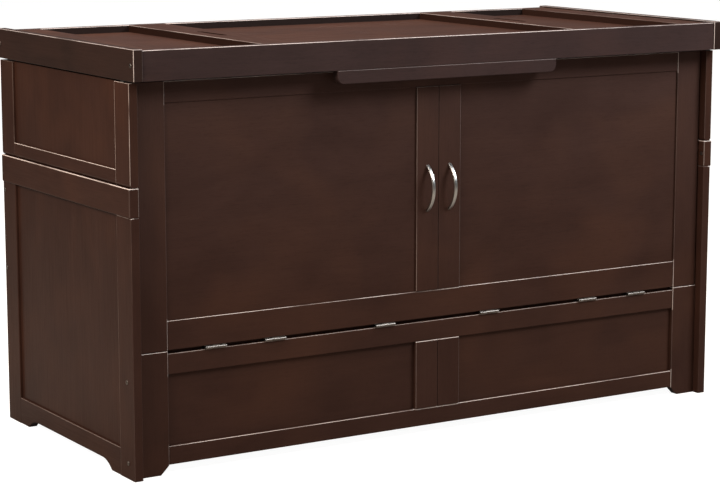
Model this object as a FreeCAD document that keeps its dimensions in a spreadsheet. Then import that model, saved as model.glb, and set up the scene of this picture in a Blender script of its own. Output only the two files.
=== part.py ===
import FreeCAD, Part
import Sketcher
import os
import re

# A cabinet bed: closed, a low wooden cabinet; open, a bed whose platform folds out of its front.
# Millimetres. Origin at the middle of the floor under the cabinet, +X to its right, front towards -Y, +Z up.
# The part is modelled shut, and every size below is a driving dimension of the real object.

doc = FreeCAD.newDocument("cabinet_bed")
dims = doc.addObject("Spreadsheet::Sheet", "dims")

SIZES = (
    # overall
    ("lid_width", 1626, "over the lid's side rails"),
    ("lid_depth", 736, "front to rear over the lid's side rails"),
    ("total_height", 954, "floor to the top of the lid"),
    # lid
    ("lid_rail_height", 70, "side rails of the lid"),
    ("lid_rail_thick", 22, "all rails of the lid"),
    ("lid_front_set", 3, "front rail behind the side rails' ends"),
    ("lid_front_drop", 3, "front rail's top below the side rails'"),
    ("lid_back_set", 6, "back rail in front of the side rails' ends"),
    ("lid_back_drop", 4, "back rail's top below the side rails'"),
    ("lid_gap", 4, "between the lid's rails and the sides below"),
    ("tray_stile_width", 78, "flat boards beside the side rails"),
    ("tray_divider_width", 100, "flat dividers"),
    ("tray_divider_place", 428, "middle of a divider from the cabinet's middle"),
    ("tray_board_thick", 22, "stiles and dividers of the tray"),
    ("tray_panel_thick", 5, "panels let into the underside of the tray"),
    ("rabbet_width", 8, "ledge that a tray panel laps"),
    ("slot_length", 135, "finger slot in each divider"),
    ("slot_width", 14, "finger slot"),
    ("slot_depth", 9, "finger slot"),
    ("slot_flat", 0.2, "flat left between the rounded corners of a slot's end"),
    ("bar_width", 608, "lifting bar under the front rail"),
    ("bar_height", 30.5, "lifting bar"),
    ("bar_thick", 20, "lifting bar"),
    ("bar_proud", 1, "bar in front of the front rail"),
    ("bar_corner_radius", 17, "lower corners of the bar"),
    # sides
    ("side_inset", 1, "side inside the lid's side rail"),
    ("side_thick", 21, "stiles and rails of the sides"),
    ("side_front_set", 28, "side's front edge behind the lid's"),
    ("side_rear_set", 12, "side's rear edge in front of the lid's"),
    ("side_stile_width", 72, "stiles and legs of the sides"),
    ("split_height", 652, "joint between upper and lower side"),
    ("upper_rail_height", 35, "bullnosed rail at the split"),
    ("bullnose_radius", 8, "lower edges of the upper side"),
    ("cap_rail_height", 65, "rail on top of the legs"),
    ("cap_rail_proud", 3, "cap rail outside the legs"),
    ("cap_rail_rounding", 2.5, "edges of the cap rail"),
    ("low_rail_top", 63.5, "top of the low rails, floor up"),
    ("toe_height", 21, "floor to the underside of the low rails"),
    ("foot_width", 117, "bottom of a side foot"),
    ("cove_radius", 68, "cove between a side foot and its rail"),
    ("side_panel_thick", 9, "panels of the sides"),
    ("side_panel_set", 6, "panel's face inside the stiles' face"),
    # front: fixed base and fold-down panel
    ("face_set", 20, "front's face behind the sides' front edges"),
    ("stile_thick", 22, "stiles of the base front and the door"),
    ("rail_thick", 20, "their rails"),
    ("front_stile_reach", 74, "stile's inner edge from the side's inner face"),
    ("centre_stile_width", 61, "each of the two centre stiles"),
    ("centre_groove", 1, "between the two centre stiles"),
    ("front_panel_thick", 9, "panels of the base front and the door"),
    ("base_panel_set", 10, "base panels behind the stiles' face"),
    ("door_panel_set", 5, "door panels behind the stiles' face"),
    ("groove_depth", 8, "how far a panel enters the boards round it"),
    ("groove_clearance", 0.3, "play of a panel in its grooves"),
    ("hinge_height", 278, "axis of the door's hinges"),
    ("hinge_proud", 1, "that axis in front of the stiles' face"),
    ("base_stile_gap", 2, "base stile's top above the axis"),
    ("hinge_gap", 4, "axis to the rail above and the rail below"),
    ("base_top_rail_height", 47, "upper rail of the base front"),
    ("door_low_rail_height", 66, "bottom rail of the door"),
    ("door_top_rail_height", 47, "top rail of the door"),
    ("door_top_gap", 6, "door's top below the lid's front rail"),
    ("door_side_gap", 3, "door's edge to the side's inner face"),
    # hinges
    ("leaf_thick", 1.5, "every hinge leaf"),
    ("leaf_width", 14, "every hinge leaf, front to rear"),
    ("leaf_set", 4.5, "leaf's near edge from the hinge axis"),
    ("front_hinge_length", 53, "each front hinge along its axis"),
    ("rear_hinge_length", 70, "each rear and foot hinge along its axis"),
    ("knuckle_radius", 3, "hinge knuckles"),
    ("knuckle_gap", 0.4, "between knuckles"),
    ("pin_radius", 1.5, "hinge pins"),
    ("pin_clearance", 0.1, "pin in its knuckles, on the radius"),
    ("front_hinge_inner", 148, "inner front hinges from the cabinet's middle"),
    ("front_hinge_middle", 273, "middle front hinges from the stiles' inner edges"),
    ("front_hinge_outer", 120, "outer front hinges from the stiles' inner edges"),
    ("rear_hinge_inset", 171, "outer lid and foot hinges from the sides' inner faces"),
    ("foot_hinge_rise", 4, "foot hinge axis above the door's top"),
    # handles
    ("handle_chord", 104, "between the ends of a bow"),
    ("handle_rise", 26, "bow's middle line in front of the face"),
    ("handle_width", 9, "bow, side to side"),
    ("handle_thick", 6, "bow, front to rear"),
    ("handle_rounding", 2.4, "edges of the bow"),
    ("handle_height", 592, "middle of the handles above the floor"),
    ("screw_radius", 2, "handle screws"),
    ("screw_head_radius", 4, "handle screws"),
    ("screw_head_thick", 2.5, "handle screws"),
    ("screw_sink", 0.5, "screw head below the door's inner face"),
    ("screw_inset", 4, "screw from the end of a bow"),
    # bolts
    ("bolt_radius", 3, "frame bolts"),
    ("bolt_head_radius", 5, "frame bolts"),
    ("bolt_head_thick", 1.5, "frame bolts"),
    ("bolt_length", 50, "frame bolts under the head"),
    ("cap_screw_length", 12, "short bolts in the cap rails"),
    ("hole_clearance", 0.2, "bolt or screw in its hole, on the radius"),
    ("upper_bolt_height", 219.5, "upper bolt of the base front"),
    ("lower_bolt_height", 36, "lower bolt of the base front"),
    ("back_bolt_high", 567, "upper bolt of the back"),
    ("back_bolt_low", 376, "lower bolt of the back"),
    # back
    ("back_thick", 22, "stiles and rails of the back"),
    ("back_stile_width", 70, "stiles and rails of the back"),
    ("back_panel_thick", 6, "panels of the back"),
    ("back_panel_set", 8, "panel's face inside the back's rear face"),
    # head deck
    ("deck_rise", 23, "deck's top above the hinge axis"),
    ("slat_thick", 18, "head deck slats"),
    ("slat_width", 70, "head deck slats"),
    ("slat_side_gap", 6, "outer slats to the sides"),
    ("slat_gap", 4, "slat ends to the door and the back"),
    ("bearer_height", 40, "bearers under the slats"),
    ("bearer_thick", 22, "bearers under the slats"),
    # foot deck
    ("foot_side_gap", 46, "foot deck to the sides"),
    ("foot_board_width", 70, "frame boards of the foot deck"),
    ("foot_thick", 22, "frame boards of the foot deck"),
    ("foot_panel_thick", 9, "panels of the foot deck"),
    ("foot_panel_set", 2, "panel's face below the foot deck's top"),
    ("foot_gap", 2, "foot deck to the door, folded"),
    ("foot_lift", 5, "folded foot deck above the head deck"),
    # folding legs
    ("leg_tube_radius", 11, "leg frames are bent from round tube"),
    ("leg_bend_radius", 50, "bend at each end of the pivot bar"),
    ("leg_axis_drop", 14, "leg pivot below the foot deck"),
    ("leg_place", 24, "leg pivot from the end of the foot deck"),
    ("middle_leg_inset", 145, "middle legs' tube inside the foot deck's edge"),
    ("foot_leg_inset", 205, "foot legs' tube inside the foot deck's edge"),
    ("floor_clearance", 1, "open legs above the floor"),
    ("cap_length", 16, "rubber cap over a leg's end"),
    ("cap_wall", 2, "rubber cap, wall and bottom"),
    ("bracket_width", 30, "saddle bracket along the pivot bar"),
    ("bracket_size", 32, "saddle bracket along the foot deck"),
    ("bracket_inset", 110, "bracket from the leg's middle line"),
    ("bracket_clearance", 0.3, "pivot bar in its bracket, on the radius"),
    # small parts and finish
    ("pad_size", 16, "rest pad, square"),
    ("edge_easing", 1.5, "rounded long edges of every board"),
    ("overshoot", 1, "cutting tools past the faces that they cut"),
)

for row, (alias, size, note) in enumerate(SIZES, start=1):
    dims.set(f"A{row}", alias)
    dims.set(f"B{row}", str(size))
    dims.set(f"C{row}", note)
    dims.setAlias(f"B{row}", alias)
doc.recompute()

FUNCTIONS = ("sqrt",)


def bind(feature, prop, formula):
    """Tie a property to a formula of named sizes."""
    def cell(match):
        word = match.group(0)
        return word if word in FUNCTIONS else f"dims.{word}"
    feature.setExpression(prop, re.sub(r"[a-z][a-z_]+", cell, formula))


def place(feature, x, y, z):
    """Put a feature's own origin at three formulas."""
    for axis, formula in zip("xyz", (x, y, z)):
        bind(feature, f"Placement.Base.{axis}", formula)


# ---- Shared planes, as formulas -----------------------------------------------------------------

LID_SIDE = "lid_width / 2"
LID_FRONT = "-lid_depth / 2"
LID_BACK = "lid_depth / 2"
LID_BOTTOM = "(total_height - lid_rail_height)"
SIDES_TOP = f"({LID_BOTTOM} - lid_gap)"
SIDE_OUTER = "(lid_width / 2 - side_inset)"
SIDE_INNER = f"({SIDE_OUTER} - side_thick)"
SIDE_FRONT = "(side_front_set - lid_depth / 2)"
SIDE_BACK = "(lid_depth / 2 - side_rear_set)"
CAP_BOTTOM = "(split_height - cap_rail_height)"
FACE = f"({SIDE_FRONT} + face_set)"
FRONT_INNER = f"({FACE} + stile_thick)"
DOOR_TOP = f"({LID_BOTTOM} - door_top_gap)"
DOOR_BOTTOM = "(hinge_height + hinge_gap)"
BASE_RAIL_TOP = "(hinge_height - hinge_gap)"
DECK_TOP = "(hinge_height + deck_rise)"
STILE_EDGE = f"({SIDE_INNER} - front_stile_reach)"
BACK_INNER = f"({SIDE_BACK} - back_thick)"


# ---- Boards --------------------------------------------------------------------------------------

NEAR = 1e-6  # points closer than this are the same point


def along(edge, axis):
    """Whether a straight edge runs along one axis (0, 1 or 2)."""
    step = edge.Vertexes[-1].Point - edge.Vertexes[0].Point
    return step.Length > NEAR and abs(abs(step[axis]) - step.Length) < NEAR


def round_edges(body, wanted, radius):
    """Round the edges of a body that the function `wanted` accepts."""
    base = body.Tip
    names = [f"Edge{i}" for i, edge in enumerate(base.Shape.Edges, start=1) if wanted(edge)]
    rounding = body.newObject("PartDesign::Fillet", f"{body.Label}_rounding")
    rounding.Base = (base, names)
    bind(rounding, "Radius", radius)
    doc.recompute()


def at_top(body):
    """A test for the edges round a board's upper face."""
    top = body.Tip.Shape.BoundBox.ZMax
    return lambda edge: edge.BoundBox.ZMin > top - NEAR


def ease_upright(body):
    """Round the upright edges of a post and those round its upper end."""
    upper = at_top(body)
    round_edges(body, lambda edge: along(edge, 2) or upper(edge), "edge_easing")


def cut_box(body, x, y, z):
    """Take a box, given in the part's own frame, out of a board."""
    tool = body.newObject("PartDesign::SubtractiveBox", f"{body.Label}_cut")
    for prop, (low, high) in zip(("Length", "Width", "Height"), (x, y, z)):
        bind(tool, prop, f"({high}) - ({low})")
    corner = board_corner[body.Name]
    place(tool, *(f"({low}) - ({start})" for (low, high), start in zip((x, y, z), corner)))
    doc.recompute()


TURN = {
    "x": FreeCAD.Rotation(FreeCAD.Vector(0, 1, 0), 90),
    "y": FreeCAD.Rotation(FreeCAD.Vector(1, 0, 0), -90),
    "z": FreeCAD.Rotation(),
}


def drill(body, axis, start, length, radius):
    """Drill a round hole from the point `start` (three formulas) in the positive direction of an axis."""
    hole = body.newObject("PartDesign::SubtractiveCylinder", f"{body.Label}_hole")
    hole.Placement = FreeCAD.Placement(FreeCAD.Vector(), TURN[axis])
    bind(hole, "Radius", radius)
    bind(hole, "Height", length)
    place(hole, *(f"({at}) - ({corner})" for at, corner in zip(start, board_corner[body.Name])))
    doc.recompute()


board_corner = {}
AXES = {"x": (0,), "y": (1,), "z": (2,), "all": (0, 1, 2)}


def board(name, x, y, z, eased="", grooves=()):
    """A sawn board between three pairs of formulas, its edges along `eased` rounded, then grooved."""
    body = doc.addObject("PartDesign::Body", name)
    body.Label = name
    block = body.newObject("PartDesign::AdditiveBox", f"{name}_block")
    for prop, (low, high) in zip(("Length", "Width", "Height"), (x, y, z)):
        bind(block, prop, f"({high}) - ({low})")
    place(body, x[0], y[0], z[0])
    board_corner[body.Name] = (x[0], y[0], z[0])
    doc.recompute()
    if eased:
        round_edges(body, lambda edge: any(along(edge, axis) for axis in AXES[eased]), "edge_easing")
    for groove in grooves:
        cut_box(body, *grown(groove))
    return body


def grown(space):
    """The space of a panel, larger by the play that it has in its grooves."""
    return tuple((f"({low}) - groove_clearance", f"({high}) + groove_clearance") for low, high in space)


def mirrored(span):
    """The same span on the other side of the cabinet's middle."""
    return (f"-({span[1]})", f"-({span[0]})")


def on_side(side, inner, outer):
    """A span of x between two distances from the middle, on the left or the right."""
    return (inner, outer) if side == "right" else mirrored((inner, outer))


SIDES = ("left", "right")


def group(name, members):
    """One node that holds several separate solids."""
    compound = doc.addObject("Part::Compound", name)
    compound.Label = name
    compound.Links = members
    return compound


# ---- Round bars, hinges and fasteners ------------------------------------------------------------

def rod(name, axis, start, length, radius):
    """A round bar from the point `start` in the positive direction of an axis."""
    bar = doc.addObject("Part::Cylinder", name)
    bar.Placement = FreeCAD.Placement(FreeCAD.Vector(), TURN[axis])
    bind(bar, "Radius", radius)
    bind(bar, "Height", length)
    place(bar, *start)
    return bar


def block(name, x, y, z):
    """A plain box between three pairs of formulas."""
    box = doc.addObject("Part::Box", name)
    for prop, (low, high) in zip(("Length", "Width", "Height"), (x, y, z)):
        bind(box, prop, f"({high}) - ({low})")
    place(box, x[0], y[0], z[0])
    return box


def fused(name, shapes):
    """Several touching shapes as one solid."""
    union = doc.addObject("Part::MultiFuse", name)
    union.Shapes = shapes
    union.Refine = True
    return union


def without(name, base, tool):
    """A solid with a tool taken out of it."""
    result = doc.addObject("Part::Cut", name)
    result.Base = base
    result.Tool = tool
    result.Refine = True
    return result


def hinge(name, middle, length, axis_y, axis_z, leaves):
    """A butt hinge with three knuckles along X: a leaf with the outer two, a leaf with the middle one, a pin.

    `leaves` gives for each of the two leaves its direction from the axis (+1 or -1 along Y)
    and the height of its lower face.
    """
    third = f"({length} / 3)"
    start = f"({middle} - {length} / 2)"
    bore = rod(f"{name}_bore", "x", (f"{start} - overshoot", axis_y, axis_z), f"{length} + 2 * overshoot",
               "pin_radius + pin_clearance")
    knuckle_places = (
        ((start, f"{start} + {third} - knuckle_gap / 2"),
         (f"{start} + 2 * {third} + knuckle_gap / 2", f"{start} + {length}")),
        ((f"{start} + {third} + knuckle_gap / 2", f"{start} + 2 * {third} - knuckle_gap / 2"),),
    )
    made = []
    for which, (side, low) in enumerate(leaves):
        leaf = f"{name}_leaf{which}"
        z = (low, f"{low} + leaf_thick")
        near, far = f"{axis_y} + {side} * leaf_set", f"{axis_y} + {side} * (leaf_set + leaf_width)"
        y = (near, far) if side > 0 else (far, near)
        shapes = [block(f"{leaf}_plate", (start, f"{start} + {length}"), y, z)]
        for spot, (low_x, high_x) in enumerate(knuckle_places[which]):
            tab_y = (axis_y, near) if side > 0 else (near, axis_y)
            shapes.append(block(f"{leaf}_tab{spot}", (low_x, high_x), tab_y, z))
            shapes.append(rod(f"{leaf}_knuckle{spot}", "x", (low_x, axis_y, axis_z),
                              f"({high_x}) - ({low_x})", "knuckle_radius"))
        made.append(without(leaf, fused(f"{leaf}_blank", shapes), bore))
    pin = rod(f"{name}_pin", "x", (start, axis_y, axis_z), length, "pin_radius")
    return made[0], made[1], pin


def bolt(name, side, head_face, y, z, length, inwards=True):
    """A frame bolt along X: a flat round head on the face `head_face`, its shank behind it.

    `inwards` bolts point to the cabinet's middle, the others away from it.
    """
    towards = 1 if (side == "left") == inwards else -1
    face = f"-({head_face})" if side == "left" else head_face
    shank_start = face if towards > 0 else f"{face} - {length}"
    head_start = f"{face} - bolt_head_thick" if towards > 0 else face
    shank = rod(f"{name}_shank", "x", (shank_start, y, z), length, "bolt_radius")
    head = rod(f"{name}_head", "x", (head_start, y, z), "bolt_head_thick", "bolt_head_radius")
    return fused(name, [shank, head]), (shank_start, y, z)


# ---- Lid -----------------------------------------------------------------------------------------

TRAY_TOP = "(total_height - lid_back_drop)"
TRAY_BOTTOM = f"({TRAY_TOP} - tray_board_thick)"
TRAY_PANEL_TOP = f"({TRAY_BOTTOM} + tray_panel_thick)"
LID_INNER = "(lid_width / 2 - lid_rail_thick)"
LID_FRONT_FACE = f"({LID_FRONT} + lid_front_set)"
LID_FRONT_INNER = f"({LID_FRONT_FACE} + lid_rail_thick)"
LID_BACK_FACE = f"({LID_BACK} - lid_back_set)"
LID_BACK_INNER = f"({LID_BACK_FACE} - lid_rail_thick)"
TRAY_Y = (LID_FRONT_INNER, LID_BACK_INNER)
TRAY_Z = (TRAY_BOTTOM, TRAY_TOP)
TRAY_STILE_EDGE = f"({LID_INNER} - tray_stile_width)"
DIVIDER_INNER = "(tray_divider_place - tray_divider_width / 2)"
DIVIDER_OUTER = "(tray_divider_place + tray_divider_width / 2)"


def tray_panel_space(x_low, x_high):
    """Room for a tray panel: it laps the rabbets on both sides and lies flush with the underside."""
    return ((f"{x_low} - rabbet_width", f"{x_high} + rabbet_width"), TRAY_Y,
            (TRAY_BOTTOM, TRAY_PANEL_TOP))


def rabbeted(space):
    """The rabbet for a tray panel: it has play sideways, and the panel lies against its ceiling."""
    (x_low, x_high), y, (z_low, z_high) = space
    return ((f"{x_low} - groove_clearance", f"{x_high} + groove_clearance"),
            (f"{y[0]} - overshoot", f"{y[1]} + overshoot"), (f"{z_low} - overshoot", z_high))


def in_slot(edge):
    """Whether an edge of a divider is an upright corner of its finger slot: as tall as the slot is deep."""
    depth = float(dims.get("slot_depth"))
    return along(edge, 2) and abs(edge.Length - depth) < NEAR


def make_lid():
    """The lid: four rails, a tray of flat boards and let-in panels, and a lifting bar."""
    nodes = []
    side_rails = {}
    for side in SIDES:
        side_rails[side] = board(f"lid_side_rail_{side}", on_side(side, LID_INNER, LID_SIDE),
                                 (LID_FRONT, LID_BACK), (LID_BOTTOM, "total_height"), eased="all")
    front = board("lid_front_rail", (f"-{LID_INNER}", LID_INNER), (LID_FRONT_FACE, LID_FRONT_INNER),
                  (LID_BOTTOM, "total_height - lid_front_drop"), eased="x")
    back = board("lid_back_rail", (f"-{LID_INNER}", LID_INNER), (LID_BACK_INNER, LID_BACK_FACE),
                 (LID_BOTTOM, TRAY_TOP), eased="x")
    nodes += [side_rails["left"], side_rails["right"], front, back]

    centre_space = tray_panel_space(f"-{DIVIDER_INNER}", DIVIDER_INNER)
    nodes.append(board("lid_centre_panel", *centre_space))
    outer_panels, stiles, dividers = [], [], []
    for side in SIDES:
        outer_x = on_side(side, DIVIDER_OUTER, TRAY_STILE_EDGE)
        outer_space = tray_panel_space(*outer_x)
        outer_panels.append(board(f"lid_outer_panel_{side}", *outer_space))
        stile = board(f"lid_stile_{side}", on_side(side, TRAY_STILE_EDGE, LID_INNER), TRAY_Y, TRAY_Z,
                      eased="y")
        divider = board(f"lid_divider_{side}", on_side(side, DIVIDER_INNER, DIVIDER_OUTER), TRAY_Y, TRAY_Z,
                        eased="y")
        cut_box(stile, *rabbeted(outer_space))
        cut_box(divider, *rabbeted(outer_space))
        cut_box(divider, *rabbeted(centre_space))
        slot_x = on_side(side, "tray_divider_place - slot_width / 2", "tray_divider_place + slot_width / 2")
        slot_z = (f"{TRAY_TOP} - slot_depth", f"{TRAY_TOP} + overshoot")
        cut_box(divider, slot_x, ("-slot_length / 2", "slot_length / 2"), slot_z)
        round_edges(divider, in_slot, "slot_width / 2 - slot_flat / 2")
        stiles.append(stile)
        dividers.append(divider)
    nodes += [group("lid_outer_panels", outer_panels), group("lid_stiles", stiles),
              group("lid_dividers", dividers)]

    bar_front = f"{LID_FRONT_FACE} - bar_proud"
    bar = board("lid_pull_bar", ("-bar_width / 2", "bar_width / 2"), (bar_front, f"{bar_front} + bar_thick"),
                (f"{LID_BOTTOM} - bar_height", LID_BOTTOM))
    round_edges(bar, lambda edge: along(edge, 1) and edge.BoundBox.ZMax < NEAR, "bar_corner_radius")
    round_edges(bar, lambda edge: edge.BoundBox.YMax < NEAR, "edge_easing")
    nodes.append(bar)

    bolts = []
    for side in SIDES:
        for end, rail, y in (("front", front, f"{LID_FRONT_FACE} + lid_rail_thick / 2"),
                             ("back", back, f"{LID_BACK_FACE} - lid_rail_thick / 2")):
            z = f"{LID_BOTTOM} + lid_rail_height / 2"
            shape, start = bolt(f"lid_bolt_{side}_{end}", side, LID_SIDE, y, z, "bolt_length")
            for wood in (side_rails[side], rail):
                drill(wood, "x", start, "bolt_length", "bolt_radius + hole_clearance")
            bolts.append(shape)
    nodes.append(group("lid_bolts", bolts))
    return nodes


# ---- Sides ---------------------------------------------------------------------------------------

STILE_INNER_FRONT = f"({SIDE_FRONT} + side_stile_width)"
STILE_INNER_BACK = f"({SIDE_BACK} - side_stile_width)"
PANEL_OUTER = f"({SIDE_OUTER} - side_panel_set)"
PANEL_INNER = f"({PANEL_OUTER} - side_panel_thick)"
UPPER_RAIL_TOP = "(split_height + upper_rail_height)"
PANEL_Y = (f"{STILE_INNER_FRONT} - groove_depth", f"{STILE_INNER_BACK} + groove_depth")


def bullnose(body):
    """Round the two lower edges of an upper board, along the side."""
    round_edges(body, lambda edge: along(edge, 1) and edge.BoundBox.ZMax < NEAR, "bullnose_radius")


def make_side(side, fixings):
    """One side: an upper frame that stands on the cap rail of a lower frame with two legs."""
    x = on_side(side, SIDE_INNER, SIDE_OUTER)
    panel_x = on_side(side, PANEL_INNER, PANEL_OUTER)
    upper_space = (panel_x, PANEL_Y, (f"{UPPER_RAIL_TOP} - groove_depth", SIDES_TOP))
    lower_space = (panel_x, PANEL_Y, ("low_rail_top - groove_depth", f"{CAP_BOTTOM} + groove_depth"))
    front_y, back_y = (SIDE_FRONT, STILE_INNER_FRONT), (STILE_INNER_BACK, SIDE_BACK)
    between_y = (STILE_INNER_FRONT, STILE_INNER_BACK)

    stiles, legs = [], []
    for end, y in (("front", front_y), ("rear", back_y)):
        stile = board(f"{side}_upper_stile_{end}", x, y, ("split_height", SIDES_TOP))
        bullnose(stile)
        ease_upright(stile)
        cut_box(stile, *grown(upper_space))
        stiles.append(stile)
        leg = board(f"{side}_leg_{end}", x, y, ("0", CAP_BOTTOM))
        ease_upright(leg)
        cut_box(leg, *grown(lower_space))
        legs.append(leg)
    rail = board(f"{side}_upper_rail", x, between_y, ("split_height", UPPER_RAIL_TOP))
    upper = at_top(rail)
    round_edges(rail, lambda edge: along(edge, 1) and upper(edge), "edge_easing")
    bullnose(rail)
    cut_box(rail, *grown(upper_space))
    cap_x = on_side(side, SIDE_INNER, f"{SIDE_OUTER} + cap_rail_proud")
    cap = board(f"{side}_cap_rail", cap_x, (SIDE_FRONT, SIDE_BACK), (CAP_BOTTOM, "split_height"))
    round_edges(cap, lambda edge: True, "cap_rail_rounding")
    cut_box(cap, *grown(lower_space))

    for wood, start, length in fixings[side]:
        target = {"leg_front": legs[0], "leg_rear": legs[1], "cap": cap}[wood]
        drill(target, "x", start, length, "bolt_radius + hole_clearance")

    return [group(f"{side}_upper_stiles", stiles), rail,
            board(f"{side}_upper_panel", *upper_space), cap, group(f"{side}_legs", legs),
            make_low_rail(side, x, between_y, lower_space), board(f"{side}_lower_panel", *lower_space)]


def make_low_rail(side, x, y, panel_space):
    """The low rail of a side: its ends drop to the floor and widen the feet, with a cove on each."""
    blank = board(f"{side}_low_rail_blank", x, y, ("0", "low_rail_top"), eased="y", grooves=[panel_space])
    foot_reach = "(foot_width - side_stile_width)"
    cove_width = "sqrt(2 * cove_radius * toe_height - toe_height * toe_height)"
    straight = (f"{y[0]} + {foot_reach} + {cove_width}", f"{y[1]} - {foot_reach} - {cove_width}")
    across = (f"{x[0]} - overshoot", f"{x[1]} + overshoot")
    tools = [block(f"{side}_toe_space", across, straight, ("toe_height - cove_radius", "toe_height"))]
    for end, centre_y in zip(("front", "rear"), straight):
        tools.append(rod(f"{side}_cove_{end}", "x", (across[0], centre_y, "toe_height - cove_radius"),
                         f"({across[1]}) - ({across[0]})", "cove_radius"))
    return without(f"{side}_low_rail", blank, fused(f"{side}_toe_cut", tools))


# ---- Fronts: base and door -----------------------------------------------------------------------

CENTRE_INNER = "(centre_groove / 2)"
CENTRE_OUTER = "(centre_groove / 2 + centre_stile_width)"
STILE_Y = (FACE, FRONT_INNER)
RAIL_Y = (f"{FRONT_INNER} - rail_thick", FRONT_INNER)


def make_front(prefix, stile_outer, stile_z, low_rail_z, high_rail_z):
    """A framed front that looks like a pair of doors: base front and fold-down panel share it."""
    panel_y = (f"{FACE} + {prefix}_panel_set", f"{FACE} + {prefix}_panel_set + front_panel_thick")
    panel_z = (f"{low_rail_z[1]} - groove_depth", f"{high_rail_z[0]} + groove_depth")
    spaces = {side: (on_side(side, f"{CENTRE_OUTER} - groove_depth", f"{STILE_EDGE} + groove_depth"),
                     panel_y, panel_z) for side in SIDES}
    both = list(spaces.values())
    rail_x = (f"-{STILE_EDGE}", STILE_EDGE)
    made = {
        "low_rail": board(f"{prefix}_bottom_rail", rail_x, RAIL_Y, low_rail_z, eased="x", grooves=both),
        "high_rail": board(f"{prefix}_top_rail", rail_x, RAIL_Y, high_rail_z, eased="x", grooves=both),
        "panels": [], "centre": [],
    }
    for side in SIDES:
        made[side] = board(f"{prefix}_stile_{side}", on_side(side, STILE_EDGE, stile_outer), STILE_Y, stile_z)
        made["panels"].append(board(f"{prefix}_panel_{side}", *spaces[side]))
        made["centre"].append(board(f"{prefix}_centre_stile_{side}",
                                    on_side(side, CENTRE_INNER, CENTRE_OUTER), STILE_Y,
                                    (low_rail_z[1], high_rail_z[0]), eased="all", grooves=[spaces[side]]))
    made["spaces"] = spaces
    return made


def make_base(fixings):
    """The fixed front under the door, bolted between the legs of the sides."""
    made = make_front("base", SIDE_INNER, ("0", "hinge_height + base_stile_gap"),
                      ("toe_height", "low_rail_top"),
                      (f"{BASE_RAIL_TOP} - base_top_rail_height", BASE_RAIL_TOP))
    for side in SIDES:
        stile = made[side]
        cut_foot(stile, side)
        ease_upright(stile)
        cut_box(stile, *grown(made["spaces"][side]))
        for wood, start, length in fixings[side]:
            if wood == "leg_front":
                drill(stile, "x", start, length, "bolt_radius + hole_clearance")
    return [group("base_stiles", [made["left"], made["right"]]), made["low_rail"], made["high_rail"],
            group("base_centre_stiles", made["centre"]), group("base_panels", made["panels"])]


def cut_foot(stile, side):
    """Slope the inner corner of a base stile's foot up to the underside of the low rail."""
    base = stile.Tip
    box = base.Shape.BoundBox
    inner_x = box.XMax if side == "left" else box.XMin
    names = [f"Edge{i}" for i, edge in enumerate(base.Shape.Edges, start=1)
             if along(edge, 1) and edge.BoundBox.ZMax < NEAR and abs(edge.CenterOfMass.x - inner_x) < NEAR]
    slope = stile.newObject("PartDesign::Chamfer", f"{stile.Label}_foot")
    slope.Base = (base, names)
    bind(slope, "Size", "toe_height")
    doc.recompute()


def make_door():
    """The fold-down panel. Its inner face is the middle of the bed's platform."""
    made = make_front("door", f"{SIDE_INNER} - door_side_gap", (DOOR_BOTTOM, DOOR_TOP),
                      (DOOR_BOTTOM, f"{DOOR_BOTTOM} + door_low_rail_height"),
                      (f"{DOOR_TOP} - door_top_rail_height", DOOR_TOP))
    for side in SIDES:
        round_edges(made[side], lambda edge: along(edge, 2), "edge_easing")
        cut_box(made[side], *grown(made["spaces"][side]))
    handles, screws = [], []
    for side, stile in zip(SIDES, made["centre"]):
        stile_middle = f"({CENTRE_INNER} + centre_stile_width / 2)"
        x = stile_middle if side == "right" else f"-{stile_middle}"
        handles.append(make_handle(f"door_handle_{side}", x))
        for end, sign in (("upper", "+"), ("lower", "-")):
            z = f"handle_height {sign} (handle_chord / 2 - screw_inset)"
            head_y = f"{FRONT_INNER} - screw_sink - screw_head_thick"
            drill(stile, "y", (x, f"{FACE} - overshoot", z), "stile_thick + 2 * overshoot",
                  "screw_radius + hole_clearance")
            drill(stile, "y", (x, head_y, z), "stile_thick", "screw_head_radius + hole_clearance")
            shank = rod(f"handle_screw_{side}_{end}_shank", "y", (x, FACE, z), f"{head_y} - {FACE}",
                        "screw_radius")
            head = rod(f"handle_screw_{side}_{end}_head", "y", (x, head_y, z), "screw_head_thick",
                       "screw_head_radius")
            screws.append(fused(f"handle_screw_{side}_{end}", [shank, head]))
    return [group("door_stiles", [made["left"], made["right"]]), made["low_rail"], made["high_rail"],
            group("door_centre_stiles", made["centre"]), group("door_panels", made["panels"]),
            *handles, group("handle_screws", screws)]


def origin_plane(body, role):
    """One of the planes of a body's own origin."""
    return next(plane for plane in body.Origin.OriginFeatures if plane.Role == role)


BOW_TURN = 150  # degrees: more than the bow needs, and the rest is cut off at the face


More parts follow.
